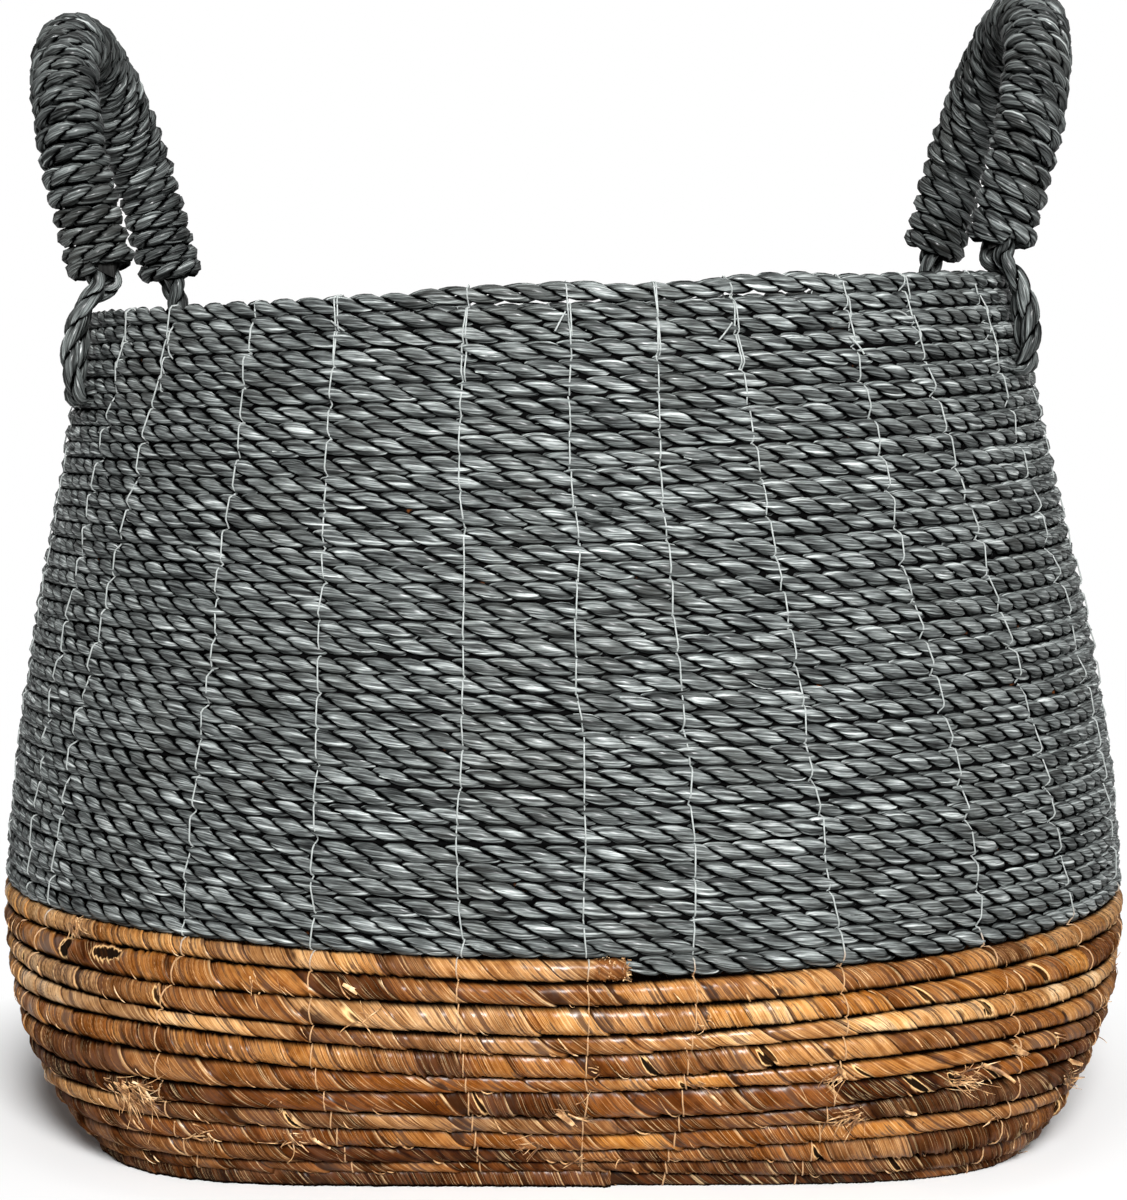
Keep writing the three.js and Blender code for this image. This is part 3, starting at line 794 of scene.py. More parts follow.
# Slate raffia: fibres along each strand, painted shade where strands and courses meet, and painted
# highlights on the strands' ridges.
grey_material, tree, shader = new_material("grey_raffia_rope")
strand_out, strand_side, strand_ridge = parted(tree, "strand")
strand_tone = parted(tree, "shade")[0]
strand_side_shade = eased(tree, strand_side, 0.72, 0.96)
strand_unshaded = times(tree, eased(tree, strand_out, 0.56, 0.82),
                    worked(tree, "SUBTRACT", 1.0, strand_side_shade))
fine, broad = fibre_streaks(tree, 0.06, 1800.0)
tone = plus(tree, stretched(tree, fine, 0.34, 0.66, 0.0, 0.62),
            stretched(tree, broad, 0.34, 0.66, 0.0, 0.42))
tone = plus(tree, tone, times(tree, strand_tone, 0.030))
# Ridges lighter and grooves darker: painted highlight and painted shade on the strands' creases.
tone = plus(tree, tone, times(tree, worked(tree, "SUBTRACT", strand_ridge, 1.0), 0.9))
grey_colour = colour_steps(tree, tone, [
    (0.0, (0.006, 0.0065, 0.0065)),
    (0.26, (0.034, 0.037, 0.0365)),
    (0.52, (0.092, 0.101, 0.099)),
    (0.76, (0.215, 0.235, 0.230)),
    (1.0, (0.520, 0.550, 0.540)),
])
grey_colour = mixed(tree, stretched(tree, noise(tree, 30.0, 3.0), 0.5, 0.72, 0.0, 0.3),
                    grey_colour, (0.046, 0.045, 0.039))
# Painted shade: near-black where strands and courses meet.
grey_colour = mixed(tree, strand_unshaded, (0.0012, 0.0013, 0.0013), grey_colour)
shiny = times(tree, strand_unshaded, stretched(tree, fine, 0.4, 0.6, 0.2, 1.0))
creases = fibre_streaks(tree, 0.30, 1300.0)[1]
relief = plus(tree, times(tree, broad, 1.6), times(tree, creases, 1.3))
fill(tree, shader, {
    "Base Color": grey_colour,
    "Roughness": stretched(tree, strand_unshaded, 0.0, 1.0, 0.9, 0.42),
    "Specular IOR Level": 0.0,
    "Coat Weight": times(tree, stretched(tree, strand_ridge, 0.86, 1.14, 0.28, 0.66), shiny),
    "Coat Roughness": 0.24,
    "Coat IOR": 1.42,
    "Normal": bumped(tree, relief, 1.0, 0.0017),
})


def strand_skins(path, outward, half_height, along, phase, hand, seed, packed=True, shade=0.0):
    """The two strands of a twisted rope, each its middle, size, rings and values. Hand is +1 or
    -1, the way that they are laid. Packed ropes get painted shade where they meet their neighbours,
    and shade darkens the rope's whole colour as painted shade."""
    rng = np.random.default_rng(seed)
    ahead = heading(path)
    up = np.cross(outward, ahead)
    skins = []
    for index in range(2):
        turned = hand * (phase + index * math.pi)
        toward = np.cos(turned)[:, None] * outward + np.sin(turned)[:, None] * up
        centre = path + toward * (strand_reach * half_height)[:, None]
        strand_ahead = heading(centre)
        aside = unit(np.cross(toward, strand_ahead))
        lean = np.cross(strand_ahead, aside)
        size = strand_size * half_height * (1 + 0.05 * wander(along, 0.018, rng)[:, 0])
        fibre_twist = -hand * full_turn * along / strand_fibre_lay
        angle = strand_angles[None] + (fibre_twist - turned)[:, None]
        grown = strand_crease_sizes[None] * (1 + 0.06 * wander(along, 0.008, rng, strand_points))
        x = strand_thickness * size[:, None] * grown * np.cos(angle)
        y = strand_width * size[:, None] * grown * np.sin(angle)
        x = np.where(x < 0, strand_inner_share * x, x)
        rings = centre[:, None] + x[..., None] * lean[:, None] + y[..., None] * aside[:, None]
        off = rings - path[:, None]
        along_off = (off * ahead[:, None]).sum(2)
        out = np.sqrt(np.maximum((off ** 2).sum(2) - along_off ** 2, 0)) / half_height[:, None]
        rise = np.abs((off * up[:, None]).sum(2)) / half_height[:, None] * packed
        lump_tone = np.broadcast_to(wander(along, lump_length, rng) - shade, rings.shape[:2])
        values = {
            "straight": np.stack([
                np.broadcast_to(along[:, None] + index * 7.3, rings.shape[:2]),
                size[:, None] * np.cos(strand_angles)[None],
                size[:, None] * np.sin(strand_angles)[None]], -1),
            "strand": np.stack([out, rise, grown], -1),
            "shade": np.stack([lump_tone, 0 * out, 0 * out], -1),
        }
        skins.append((centre, size, rings, values))
    return skins


def grey_edge(turns):
    first = np.minimum(turns, 1)
    return grey_foot + bark_rope_rise * first + grey_rise * (turns - first)


def grey_place(turns):
    angle = angle_at(turns)
    place = wall_point(angle, (grey_edge(turns) + grey_edge(turns + 1)) / 2, grey_thickness / 2)
    # The rim sags a little at the back and stands off the course below in two places at the front.
    at_back = np.maximum(np.sin(angle), 0)
    place[..., 2] -= rim_sag * smooth((turns - sag_from) / sag_turns) * at_back
    for first, last in rim_gaps:
        lifted = smooth((turns - first) / lift_turns) * smooth((last - turns) / lift_turns)
        place[..., 2] += rim_lift * lifted
    # Its end turns down behind the course below.
    tucked = smooth((turns - grey_turns + tuck_turns) / tuck_turns)
    inward = np.stack([-np.cos(angle), -np.sin(angle), 0 * angle - 0.8], -1)
    return place + rim_tuck * tucked[..., None] * inward


turns, along = even_path(grey_place, 0, grey_turns, strand_step)
path = grey_place(turns)
spacing, upward = course_frame(grey_edge, grey_thickness, turns)
outward, up = rope_frame(path, upward)
rng = np.random.default_rng(14)
half_height = grey_fill_share * spacing
half_height = half_height * (1 + 0.03 * wander(along, 0.07, rng)[:, 0])
half_height = half_height * (0.55 + 0.45 * smooth(along / grey_start_length))
path = path + outward * 0.00025 * wander(along, 0.05, rng) + up * 0.0002 * wander(along, 0.05, rng)
phase = full_turn * along / grey_lay + 0.45 * wander(along, 0.06, rng)[:, 0]
grey_rope = {"turns": turns, "path": path, "outward": outward, "up": up,
             "ahead": heading(path), "half": half_height, "phase": phase}
grey_skins = strand_skins(path, outward, half_height, along, phase, -1, 40)
grey_bands = [(0, 12), (12, 24), (24, grey_turns)]
for number, (first, last) in enumerate(grey_bands, 1):
    for letter, skin in zip("ab", grey_skins):
        coil = rope_piece(f"grey_rope_coil_{number}{letter}", *skin, strand_outline,
                          grey_material, "grey_rope", rows_between(turns, first, last))
        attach(coil, "basket")
        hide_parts("grey_rope_wall")

# A strip of broken fibres pressed into the grooves between the courses closes the view through
# them; its near-black colour, with a few brown bits, is painted shade.
packing_half_thickness = 0.0005
packing_half_width = 0.0013
packing_step = 0.006
# The packing stops at the two places where the rim stands off.
packing_runs = [(1.0, 35.93), (36.09, grey_turns - 0.04)]
packing_corners = np.array([(1, -1), (1, 1), (-1, 1), (-1, -1)])
groove_shade_material, tree, shader = new_material("groove_shade_fibres")
fill(tree, shader, {
    "Base Color": colour_steps(tree, noise(tree, 160.0, 2.0), [
        (0.30, (0.0012, 0.0012, 0.0012)), (0.72, (0.003, 0.003, 0.003)),
        (0.78, (0.110, 0.035, 0.010))]),
    "Roughness": 0.95,
    "Specular IOR Level": 0.0,
})
packing_outline = outline_shape("packing_outline", packing_corners * [0.5, 1.0])


def packing_place(turns):
    return (grey_place(turns) + grey_place(np.maximum(turns - 1, 0))) / 2


for number, (first, last) in enumerate(packing_runs, 1):
    turns, along = even_path(packing_place, first, last, packing_step)
    path = packing_place(turns)
    outward, up = rope_frame(path, course_frame(grey_edge, grey_thickness, turns)[1])
    thick, wide = (packing_corners * [packing_half_thickness, packing_half_width]).T
    rings = path[:, None] + thick[:, None] * outward[:, None] + wide[:, None] * up[:, None]
    packing = rope_piece(f"groove_packing_{number}", path, packing_half_width, rings, {},
                         packing_outline, groove_shade_material, "grey_rope")
    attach(packing, "basket")


# ==== Stitching ====
# Light grey nylon thread sews the courses together in upright lines. On the grey rope each stitch
# spans two courses and dips into the gap at its ends, on the bark rope it spans one.
stitch_lines = [
    (212, 204), (222.4, 210.5), (235.4, 232.8), (245.8, 247.2), (261.1, 260.6), (271.7, 272.1),
    (281.1, 281.6), (289.8, 295.4), (304.2, 312.6), (313.2, 327.8), (328.8, 345), (342.3, 357.2),
    (355.8, 369.3), (9.3, 21.5), (22.8, 33.7), (36.4, 45.8), (49.9, 58), (63.4, 70.2), (76.9, 82.3),
    (90.4, 94.5), (103.9, 106.7), (117.4, 118.8), (130.9, 131), (144.4, 143.2), (158, 155.3),
    (171.5, 167.5), (185, 179.7), (195.5, 191.8),
]
# Cut tails: the line's number, then the course, how far the tail reaches along and how far down.
tails = {
    11: [(31, 0.0095, -0.001)], 8: [(34, -0.006, 0.006)], 9: [(33, 0.005, 0.007)],
    6: [(34, -0.004, 0.007)], 4: [(34, 0.006, 0.004)], 2: [(33, 0.005, 0.005)],
    10: [(34, -0.007, -0.002)], 17: [(33, 0.006, 0.006)], 22: [(34, -0.005, 0.006)],
}
thread_radius = 0.00031
thread_sides = 5
thread_sway = 0.25
thread_jitter = 0.00006
hole_spread = 0.0005
stitch_dip = 0.0006
above_floor = 0.0004
tail_points = 5
stitch_looks = np.array([-0.42, -0.2, 0.0, 0.2, 0.42])
thread_outline = outline_shape("thread_outline", [
    (math.cos(side * full_turn / thread_sides), math.sin(side * full_turn / thread_sides))
    for side in range(thread_sides)])

thread_material, tree, shader = new_material("nylon_thread")
place = node(tree, "ShaderNodeTexCoord").outputs["Object"]
height = node(tree, "ShaderNodeSeparateXYZ", {"Vector": place}).outputs["Z"]
fluff = noise(tree, 900.0, 2.0)
thread_grey = mixed(tree, fluff, (0.17, 0.19, 0.185), (0.38, 0.40, 0.39))
thread_tan = mixed(tree, fluff, (0.26, 0.12, 0.045), (0.50, 0.31, 0.15))
fill(tree, shader, {
    "Base Color": mixed(tree, stretched(tree, height, 0.084, 0.092), thread_tan, thread_grey),
    "Roughness": 0.42,
    "Normal": bumped(tree, fluff, 0.4, 0.0002),
})


def strand_cover(spot, rise, side):
    """How far the rope's strands stand out at a rise from its middle, outside or inside."""
    half = spot["half"][0]
    if "phase" not in spot:
        return math.sqrt(max(half ** 2 - rise ** 2, 0))
    reach, size = strand_reach * half, strand_size * 1.06 * half
    most = 0.25 * half
    for turned in (-spot["phase"][0], -spot["phase"][0] + math.pi):
        off = rise - reach * math.sin(turned)
        if abs(off) < size:
            most = max(most, side * reach * math.cos(turned) + math.sqrt(size ** 2 - off ** 2))
    return most


def taut(places):
    """The line a taut thread takes over the points: their outer hull."""
    kept = []
    for place in places:
        while len(kept) > 1:
            (x1, y1), (x2, y2) = kept[-2][:2], kept[-1][:2]
            if (x2 - x1) * (place[1] - y1) - (y2 - y1) * (place[0] - x1) >= 0:
                kept.pop()
            else:
                break
        kept.append(place)
    return kept


def stitch(spots, side, rng, shifts):
    """One stitch over the given courses, outside (+1) or inside (-1)."""
    middles = [spot["path"] for spot in spots]
    places = []
    run = 0.0
    for number, spot in enumerate(spots):
        half = spot["half"][0] / 1.09
        sinks = thread_radius * (0.4 + 0.3 * rng.random())
        for look in stitch_looks:
            rise = 2 * look * half
            depth = strand_cover(spot, rise, side) + thread_radius - sinks
            share = (number + 0.5 + look) / len(spots)
            across = shifts[0] * (1 - share) + shifts[1] * share + rng.normal() * thread_jitter
            point = (spot["path"] + spot["up"] * rise + side * spot["outward"] * depth
                     + spot["ahead"] * across)
            places.append((run + rise, depth, point))
        run += 2 * half if number + 1 == len(spots) else np.linalg.norm(
            middles[number + 1] - middles[number])
    first, last = spots[0], spots[-1]
    start = first["path"] - first["up"] * first["half"][0] + first["ahead"] * shifts[0]
    end = last["path"] + last["up"] * last["half"][0] + last["ahead"] * shifts[1]
    low = (places[0][0] - stitch_dip, 0.0, start)
    high = (places[-1][0] + stitch_dip, 0.0, end)
    return [point for _, _, point in taut([low] + places + [high])]


def sew(name, runs, radii, outline, material):
    """Threads or fibres along the given runs of points, as one piece that rides on the basket."""
    lifted = [np.maximum(run, [-1, -1, above_floor]) for run in runs]
    piece = as_piece(drawn_mesh(name, outline, zip(lifted, radii)), material)
    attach(piece, "basket")
    return piece


for number, (rim_degrees, foot_degrees) in enumerate(stitch_lines, 1):
    name = f"stitch_thread_{number:02d}"
    rng = np.random.default_rng(300 + number)
    sway = rng.normal(size=8) * thread_sway
    bark_spots = [rope_at(bark_wall, turn_part(foot_degrees) + course)
                  for course in range(bark_courses)]
    grey_spots = []
    for course in range(math.ceil(grey_turns)):
        height = grey_foot + grey_rise * (course + 0.5)
        share = min(max((height - grey_foot) / (rim_height - grey_foot), 0), 1)
        degrees = foot_degrees + (rim_degrees - foot_degrees) * share
        degrees += np.interp(course, np.linspace(0, math.ceil(grey_turns), 8), sway)
        turn = turn_part(degrees) + course
        if turn < grey_turns - 0.02:
            grey_spots.append(rope_at(grey_rope, turn))
    runs = []
    holes = hole_spread * rng.normal(size=64)
    grey_holes = holes[bark_courses:]
    for side, offset in ((1, number % 2), (-1, (number + 1) % 2)):
        for course, spot in enumerate(bark_spots):
            runs.append(stitch([spot], side, rng, holes[course:course + 2]))
        if offset:
            runs.append(stitch(grey_spots[:1], side, rng, grey_holes[:2]))
        for first in range(offset, len(grey_spots), 2):
            spots = grey_spots[first:first + 2]
            ends = grey_holes[first], grey_holes[first + len(spots)]
            runs.append(stitch(spots, side, rng, ends))
        for first in range(len(grey_spots) - 3 - number % 3, len(grey_spots) - 1, 2):
            runs.append(stitch(grey_spots[first:first + 2], side, rng,
                               0.0009 + 0.0003 * rng.normal(size=2)))
    # A few cut tails stick out.
    for course, reach, drop in tails.get(number, []):
        spot = rope_at(grey_rope, turn_part(rim_degrees) + course)
        start = spot["path"] + spot["outward"] * (spot["half"] + thread_radius)
        runs.append([start + (spot["ahead"] * reach - spot["up"] * drop) * share
                     + spot["outward"] * 0.0014 * math.sin(2.4 * share)
                     for share in np.linspace(0, 1, tail_points)])
    thread = sew(f"stitching_{number:02d}", runs, [thread_radius] * len(runs), thread_outline,
                 thread_material)
    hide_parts(name)


# ==== Torn strips and loose fibres ====
# The bark splits as it dries: strips peel up at their ends and tear into tufts of thin fibres.
# The grey rope sheds short flat slivers that lie along its strands.
torn_material, tree, shader = new_material("torn_bark_fibre")
bits = noise(tree, 260.0, 3.0)
fill(tree, shader, {
    "Base Color": colour_steps(tree, bits, [
        (0.30, (0.050, 0.020, 0.007)), (0.45, (0.260, 0.120, 0.040)),
        (0.56, (0.560, 0.330, 0.145)), (0.70, (0.760, 0.560, 0.340))]),
    "Roughness": 0.6,
    "Normal": bumped(tree, bits, 0.5, 0.0004),
})
sliver_material, tree, shader = new_material("raffia_sliver")
bits = noise(tree, 400.0, 2.0)
fill(tree, shader, {
    "Base Color": mixed(tree, stretched(tree, bits, 0.35, 0.65),
                        (0.060, 0.068, 0.066), (0.420, 0.450, 0.440)),
    "Roughness": 0.35,
    "Normal": bumped(tree, bits, 0.4, 0.0003),
})

# Tufts: degrees from +X, height, number of fibres, their length, and the way they fan.
tufts = [
    (229.3, 0.0360, 70, 0.015, 1), (216.8, 0.0839, 22, 0.009, 1), (251.7, 0.0739, 5, 0.010, 0),
    (235.1, 0.0216, 14, 0.008, 0), (243.0, 0.0190, 14, 0.009, 0), (295.5, 0.0509, 16, 0.008, -1),
    (297.5, 0.0292, 34, 0.011, -1), (305.9, 0.0421, 40, 0.012, 1), (311.9, 0.0520, 10, 0.007, 1),
    (319.8, 0.0334, 22, 0.009, 1), (323.1, 0.0060, 18, 0.008, 1), (335.4, 0.0390, 7, 0.006, 1),
    (329.2, 0.0564, 7, 0.006, 1), (270.0, 0.0343, 12, 0.009, 1), (266.8, 0.0222, 10, 0.008, -1),
]
random_tufts, random_tuft_length = 34, 0.005
fibre_radius, fibre_radius_spread = 0.00014, 0.00022
cut_shreds, shred_length, shred_radius = 70, 0.005, 0.00028
cut_fibres, cut_fibre_length, cut_fibre_radius = 60, 0.0035, 0.0003
cut_depth, cut_fibre_depth = 0.010, 0.001
strip_sink, strip_radius, strip_radius_spread = 0.0002, 0.0006, 0.0006
splinters, splinter_points = 260, 6
splinter_slopes = (0.0022, 0.0042)
splinter_bow, splinter_tip = 0.0009, 0.0012
splinter_radius, splinter_radius_spread = 0.00012, 0.00024
sliver_tries, sliver_lift, sliver_curl = 900, 0.00008, 0.0006
sliver_radius, sliver_radius_spread = 0.00014, 0.00016
fibre_taper = np.linspace(1, 0.4, 5)
shred_taper = np.linspace(1, 0.5, 5)
rng = np.random.default_rng(77)
tufts += [(360 * rng.random(), 0.008 + 0.075 * rng.random(), rng.integers(2, 7),
           random_tuft_length, 0) for _ in range(random_tufts)]


def bark_spot(degrees, height, along_off=0.0):
    spot = rope_at(bark_wall, bark_turn_at(degrees, height))
    return spot, spot["path"] + spot["ahead"] * along_off


def round_rope(spot, facing):
    """Out of the rope and on round it, at an angle from its outward side towards its top."""
    out = math.cos(facing) * spot["outward"] + math.sin(facing) * spot["up"]
    over = math.cos(facing) * spot["up"] - math.sin(facing) * spot["outward"]
    return out, over


def curling(start, way, pull, length, steps=4):
    """A fibre that leaves along its way and is bent by a pull."""
    points = [start]
    for _ in range(steps):
        way = unit(way + pull / steps)
        points.append(points[-1] + way * length / steps)
    return points


runs, radii = [], []
for degrees, height, count, length, way in tufts:
    for _ in range(count):
        spot, middle = bark_spot(degrees, height, 0.30 * length * rng.normal())
        out, _ = round_rope(spot, 0.5 * rng.normal())
        fan = np.array([0.25, 0.25]) if way else np.array([0.75, 0.45])
        spread = fan * rng.normal(size=2)
        leaving = unit(0.22 * out + (0.75 * way + spread[0]) * spot["ahead"]
                       + (spread[1] - 0.35) * spot["up"])
        pull = 0.7 * rng.normal(size=3) - 0.6 * out
        runs.append(curling(middle + out * spot["half"], leaving, pull,
                            length * (0.4 + 0.8 * rng.random())))
        radii.append(fibre_taper * (fibre_radius + fibre_radius_spread * rng.random()))
# The chopped end of the bark rope: shreds round it and fibres standing out of the cut.
spot = rope_at(bark_wall, bark_courses - 0.0001)
for _ in range(cut_shreds):
    out, over = round_rope(spot, 4.4 * (rng.random() - 0.5))
    middle = spot["path"] - spot["ahead"] * cut_depth * rng.random()
    leaving = unit(over * rng.choice([-1, 1]) + 0.35 * rng.normal() * spot["ahead"])
    start = middle + out * spot["half"] * 1.05
    runs.append(curling(start, leaving, -1.6 * out, shred_length))
    radii.append(shred_taper * shred_radius)
for _ in range(cut_fibres):
    facing, reach = full_turn * rng.random(), math.sqrt(rng.random())
    out, _ = round_rope(spot, facing)
    start = (spot["path"] + out * reach * spot["half"] * 0.95
             - spot["ahead"] * cut_fibre_depth)
    leaving = unit(spot["ahead"] + 0.3 * rng.normal(size=3))
    runs.append(curling(start, leaving, 0.4 * rng.normal(size=3), cut_fibre_length))
    radii.append(shred_taper * cut_fibre_radius)
sew("bark_torn_fibres", runs, radii, thread_outline, torn_material)

# Peeling strips: degrees from +X, height, which way they point along the rope, length.
peelings = [
    (308.6, 0.0400, 1, 0.013), (216.8, 0.0835, 1, 0.009), (251.7, 0.0745, -1, 0.006),
    (271.0, 0.0343, 1, 0.009), (269.4, 0.0350, 1, 0.008), (296.0, 0.0500, -1, 0.007),
    (311.9, 0.0520, 1, 0.007), (231.0, 0.0380, 1, 0.008), (303.0, 0.0300, -1, 0.010),
    (245.0, 0.0215, 1, 0.008), (284.0, 0.0340, 1, 0.007), (320.5, 0.0340, 1, 0.008),
]
strip_half_thickness = 0.12
strip_outline = outline_shape("strip_outline", packing_corners * [strip_half_thickness, 1.0])
runs, radii = [], []
for degrees, height, way, length in peelings:
    spot, middle = bark_spot(degrees, height)
    out, over = round_rope(spot, 0.5 * rng.normal())
    start = middle + out * (spot["half"] - strip_sink)
    leaving = unit(way * spot["ahead"] - way * 0.8 * over + 0.35 * out)
    runs.append(curling(start, leaving, -0.3 * out + 0.3 * rng.normal(size=3), length, steps=6))
    radii.append(np.linspace(1, 0.6, 7) * (strip_radius + strip_radius_spread * rng.random()))
sew("bark_peeling_strips", runs, radii, strip_outline, torn_material)

# Splinters lift along the seams, slantwise down the front of the rope.
runs, radii = [], []
splinter_shares = np.linspace(0, 1, splinter_points)
splinter_taper = np.array([0.5, 0.9, 1, 1, 0.8, 0.4])
turn_length = np.gradient(bark_wall["along"], bark_wall["turns"])
for _ in range(splinters):
    degrees = rng.uniform(195, 345) if rng.random() < 0.7 else rng.uniform(0, 360)
    turn = bark_turn_at(degrees, 0.005 + 0.082 * rng.random())
    facings = rng.uniform(-0.6, 1.2) - np.linspace(0, rng.uniform(0.5, 1.9), splinter_points)
    slope = rng.uniform(*splinter_slopes) / np.interp(turn, bark_wall["turns"], turn_length)
    run = []
    for facing in facings:
        spot = rope_at(bark_wall, turn - slope * facing)
        run.append(spot["path"] + round_rope(spot, facing)[0] * spot["half"] * 1.02)
    bow = splinter_bow * rng.random() ** 2 * np.sin(np.linspace(0, math.pi, splinter_points))
    tip = splinter_tip * rng.random() ** 3 * splinter_shares ** 2
    runs.append(np.array(run) + spot["outward"] * (bow + tip)[:, None])
    width = splinter_radius + splinter_radius_spread * rng.random() ** 2
    radii.append(splinter_taper * width)
sew("bark_seam_splinters", runs, radii, thread_outline, torn_material)

# Slivers of raffia lie along the strands where they show.
runs, radii = [], []
for _ in range(sliver_tries):
    centre, _, rings, values = grey_skins[rng.integers(2)]
    row, column = rng.integers(10, len(rings) - 20), rng.integers(strand_points)
    out, side, _ = values["strand"][row + 2, column]
    if out < 0.8 or side > 0.7:
        continue
    span = rng.integers(3, 6)
    surface = rings[row:row + span, column]
    out = unit(surface - centre[row:row + span])
    lift = sliver_lift + sliver_curl * rng.random() * np.linspace(0, 1, span) ** 2
    runs.append(surface + out * lift[:, None])
    width = sliver_radius + sliver_radius_spread * rng.random()
    radii.append(np.linspace(1, 0.4, span) * width)
sew("raffia_slivers", runs, radii, thread_outline, sliver_material)


# ==== Handle roots ====
# Two lengths of the grey rope come out under each handle leg, bow clear of the rim and go into
# the wall about five courses down: outside it at the front legs, inside it at the back legs.
root_rope_radius = 0.0033
root_fullness = 1.14
root_points = 52
root_parting = 0.0022
root_inside_leg = 0.011
root_parting_from = 0.004
root_below_leg = 0.001
root_end_depth = 0.0035
root_seeds = {"left": 28, "right": 35}
# Painted shade: the handles and their roots get a darker copy of the grey rope's colour.
handle_painted_shade = 5.0
root_half_spacing = 0.004
root_drop = 0.038
root_bows = {"front": 0.009, "back": 0.005}
root_bow_shares = {"a": 1.15, "b": 0.55}
root_path_shares = [(1 / 6, 1 / 3), (2 / 5, 4 / 5), (7 / 10, 1)]
root_wall_gap = 0.0008
hinge_half_length = 0.0702
handle_lean = math.radians(14.5)


def hinge_of(label):
    """Middle of a handle's hinge line and its direction, from front to back."""
    hinge = next(joint for joint in frame["joints"] if joint["child"] == f"{label}_handle")
    return np.array(hinge["pos_m"]), np.array(hinge["axis"]) * math.copysign(1, hinge["axis"][1])


def flowing(points, count):
    """A smooth path through the points."""
    points = np.array([2 * points[0] - points[1], *points, 2 * points[-1] - points[-2]])
    places = np.linspace(1, len(points) - 2.0001, count)
    whole = places.astype(int)
    share = (places - whole)[:, None]
    a, b, c, d = (points[whole + step] for step in (-1, 0, 1, 2))
    return 0.5 * (2 * b + (c - a) * share + (2 * a - 5 * b + 4 * c - d) * share ** 2
                  + (3 * b - a - 3 * c + d) * share ** 3)


for label, side in (("left", -1), ("right", 1)):
    pivot, axis = hinge_of(label)
    lean = side * handle_lean
    leg_up = np.array([axis[1] * math.sin(lean), -axis[0] * math.sin(lean), math.cos(lean)])
    for leg_label, leg_side in (("front", -1), ("back", 1)):
        leg = pivot + axis * leg_side * hinge_half_length
        is_outside = leg_label == "front"
        away = 1 if is_outside else -1
        leg_angle = math.atan2(leg[1], leg[0] - rim_shift)
        outward = away * np.array([math.cos(leg_angle), math.sin(leg_angle), 0])
        for letter, strand_side in (("a", -1), ("b", 1)):
            top = leg + axis * strand_side * root_half_spacing
            angle = math.atan2(top[1], top[0] - rim_shift)

            def off_wall(height, distance):
                inset = -distance if is_outside else grey_thickness + distance
                return wall_point(np.array(angle), np.array(height), inset)

            foot = off_wall(rim_height - root_drop, root_wall_gap)
            past_rim = off_wall(rim_height, root_rope_radius + root_wall_gap)
            bow_from = max(top @ outward, past_rim @ outward)
            fall = top[2] - foot[2]
            parting = outward * strand_side * -root_parting
            route = [top + leg_up * root_inside_leg,
                     top + leg_up * root_parting_from + parting,
                     top - [0, 0, root_below_leg] + parting]
            for fall_share, bow_share in root_path_shares:
                reach = bow_from + root_bows[leg_label] * root_bow_shares[letter] * bow_share
                point = top + outward * (reach - top @ outward)
                point[2] = top[2] - fall * fall_share
                route.append(point)
            turn_in = foot + outward * root_rope_radius
            route += [turn_in, foot - outward * root_end_depth]
            path = flowing(route, root_points)
            along = length_along(path)
            ahead = heading(path)
            aside = unit(np.cross(ahead, np.broadcast_to(outward, ahead.shape)))
            off = np.cross(aside, ahead)
            rng = np.random.default_rng(root_seeds[label] + leg_side * 3 + strand_side)
            half_height = root_rope_radius * root_fullness
            half_height = half_height * (1 + 0.03 * wander(along, 0.02, rng)[:, 0])
            phase = full_turn * along / grey_lay + 2 * rng.random()
            skins = strand_skins(path, off, half_height, along, phase, -1, 90 + strand_side,
                                 packed=False, shade=handle_painted_shade)
            name = f"{label}_{leg_label}_root_{letter}"
            for ply, skin in enumerate(skins, 1):
                root = rope_piece(f"{name}_strand_{ply}", *skin, strand_outline, grey_material,
                                  "grey_rope")
                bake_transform(root)
                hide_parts(f"{label}_{leg_label}_root_rope_{letter}")


# ==== Handles ====
# Each handle is an arch of core rope wound closely with the grey two-strand rope. The left
# handle's rope is laid the other way round from the right one's.
leg_spacing = 0.140
leg_height = 0.0295
handle_foot = 0.0037
wrap_radius = 0.0135
wrap_pitch = 0.0075
wrap_rope_half = 0.0037
wrap_lay = 0.0165
wrap_step = 0.0019
wrap_fullness = 1.08
arc_radius = leg_spacing / 2
handle_straight = leg_height - handle_foot
handle_length = 2 * handle_straight + math.pi * arc_radius
wrap_turns = int(handle_length / wrap_pitch)


def handle_frame(distance):
    """Middle of the handle at a distance along it, and its outward side there."""
    on_arc = np.clip(distance - handle_straight, 0, math.pi * arc_radius)
    turn = on_arc / arc_radius
    beyond = np.where(distance < handle_straight, distance - handle_straight,
                      np.maximum(distance - handle_straight - math.pi * arc_radius, 0))
    none = 0 * distance
    ahead = np.stack([np.sin(turn), none, np.cos(turn)], -1)
    outside = np.stack([-np.cos(turn), none, np.sin(turn)], -1)
    middle = np.array([0, 0, leg_height]) + arc_radius * outside + beyond[:, None] * ahead
    return middle, outside


core_radius = 0.0078
core_lay = 0.03
core_end_gap = 0.0002
core_points = 110
# The core rope is painted near-black as shade, and darker still where its strands meet.
core_material, tree, shader = new_material("core_rope_fibre")
fine, _ = fibre_streaks(tree, 0.07, 700.0)
core_unshaded = eased(tree, parted(tree, "strand")[0], 0.66, 0.80)
core_colour = mixed(tree, stretched(tree, fine, 0.35, 0.65),
                    (0.006, 0.006, 0.006), (0.024, 0.024, 0.023))
fill(tree, shader, {
    "Base Color": mixed(tree, core_unshaded, (0.004, 0.004, 0.004), core_colour),
    "Roughness": 0.8,
    "Specular IOR Level": 0.0,
    "Normal": bumped(tree, fine, 0.6, 0.0008),
})

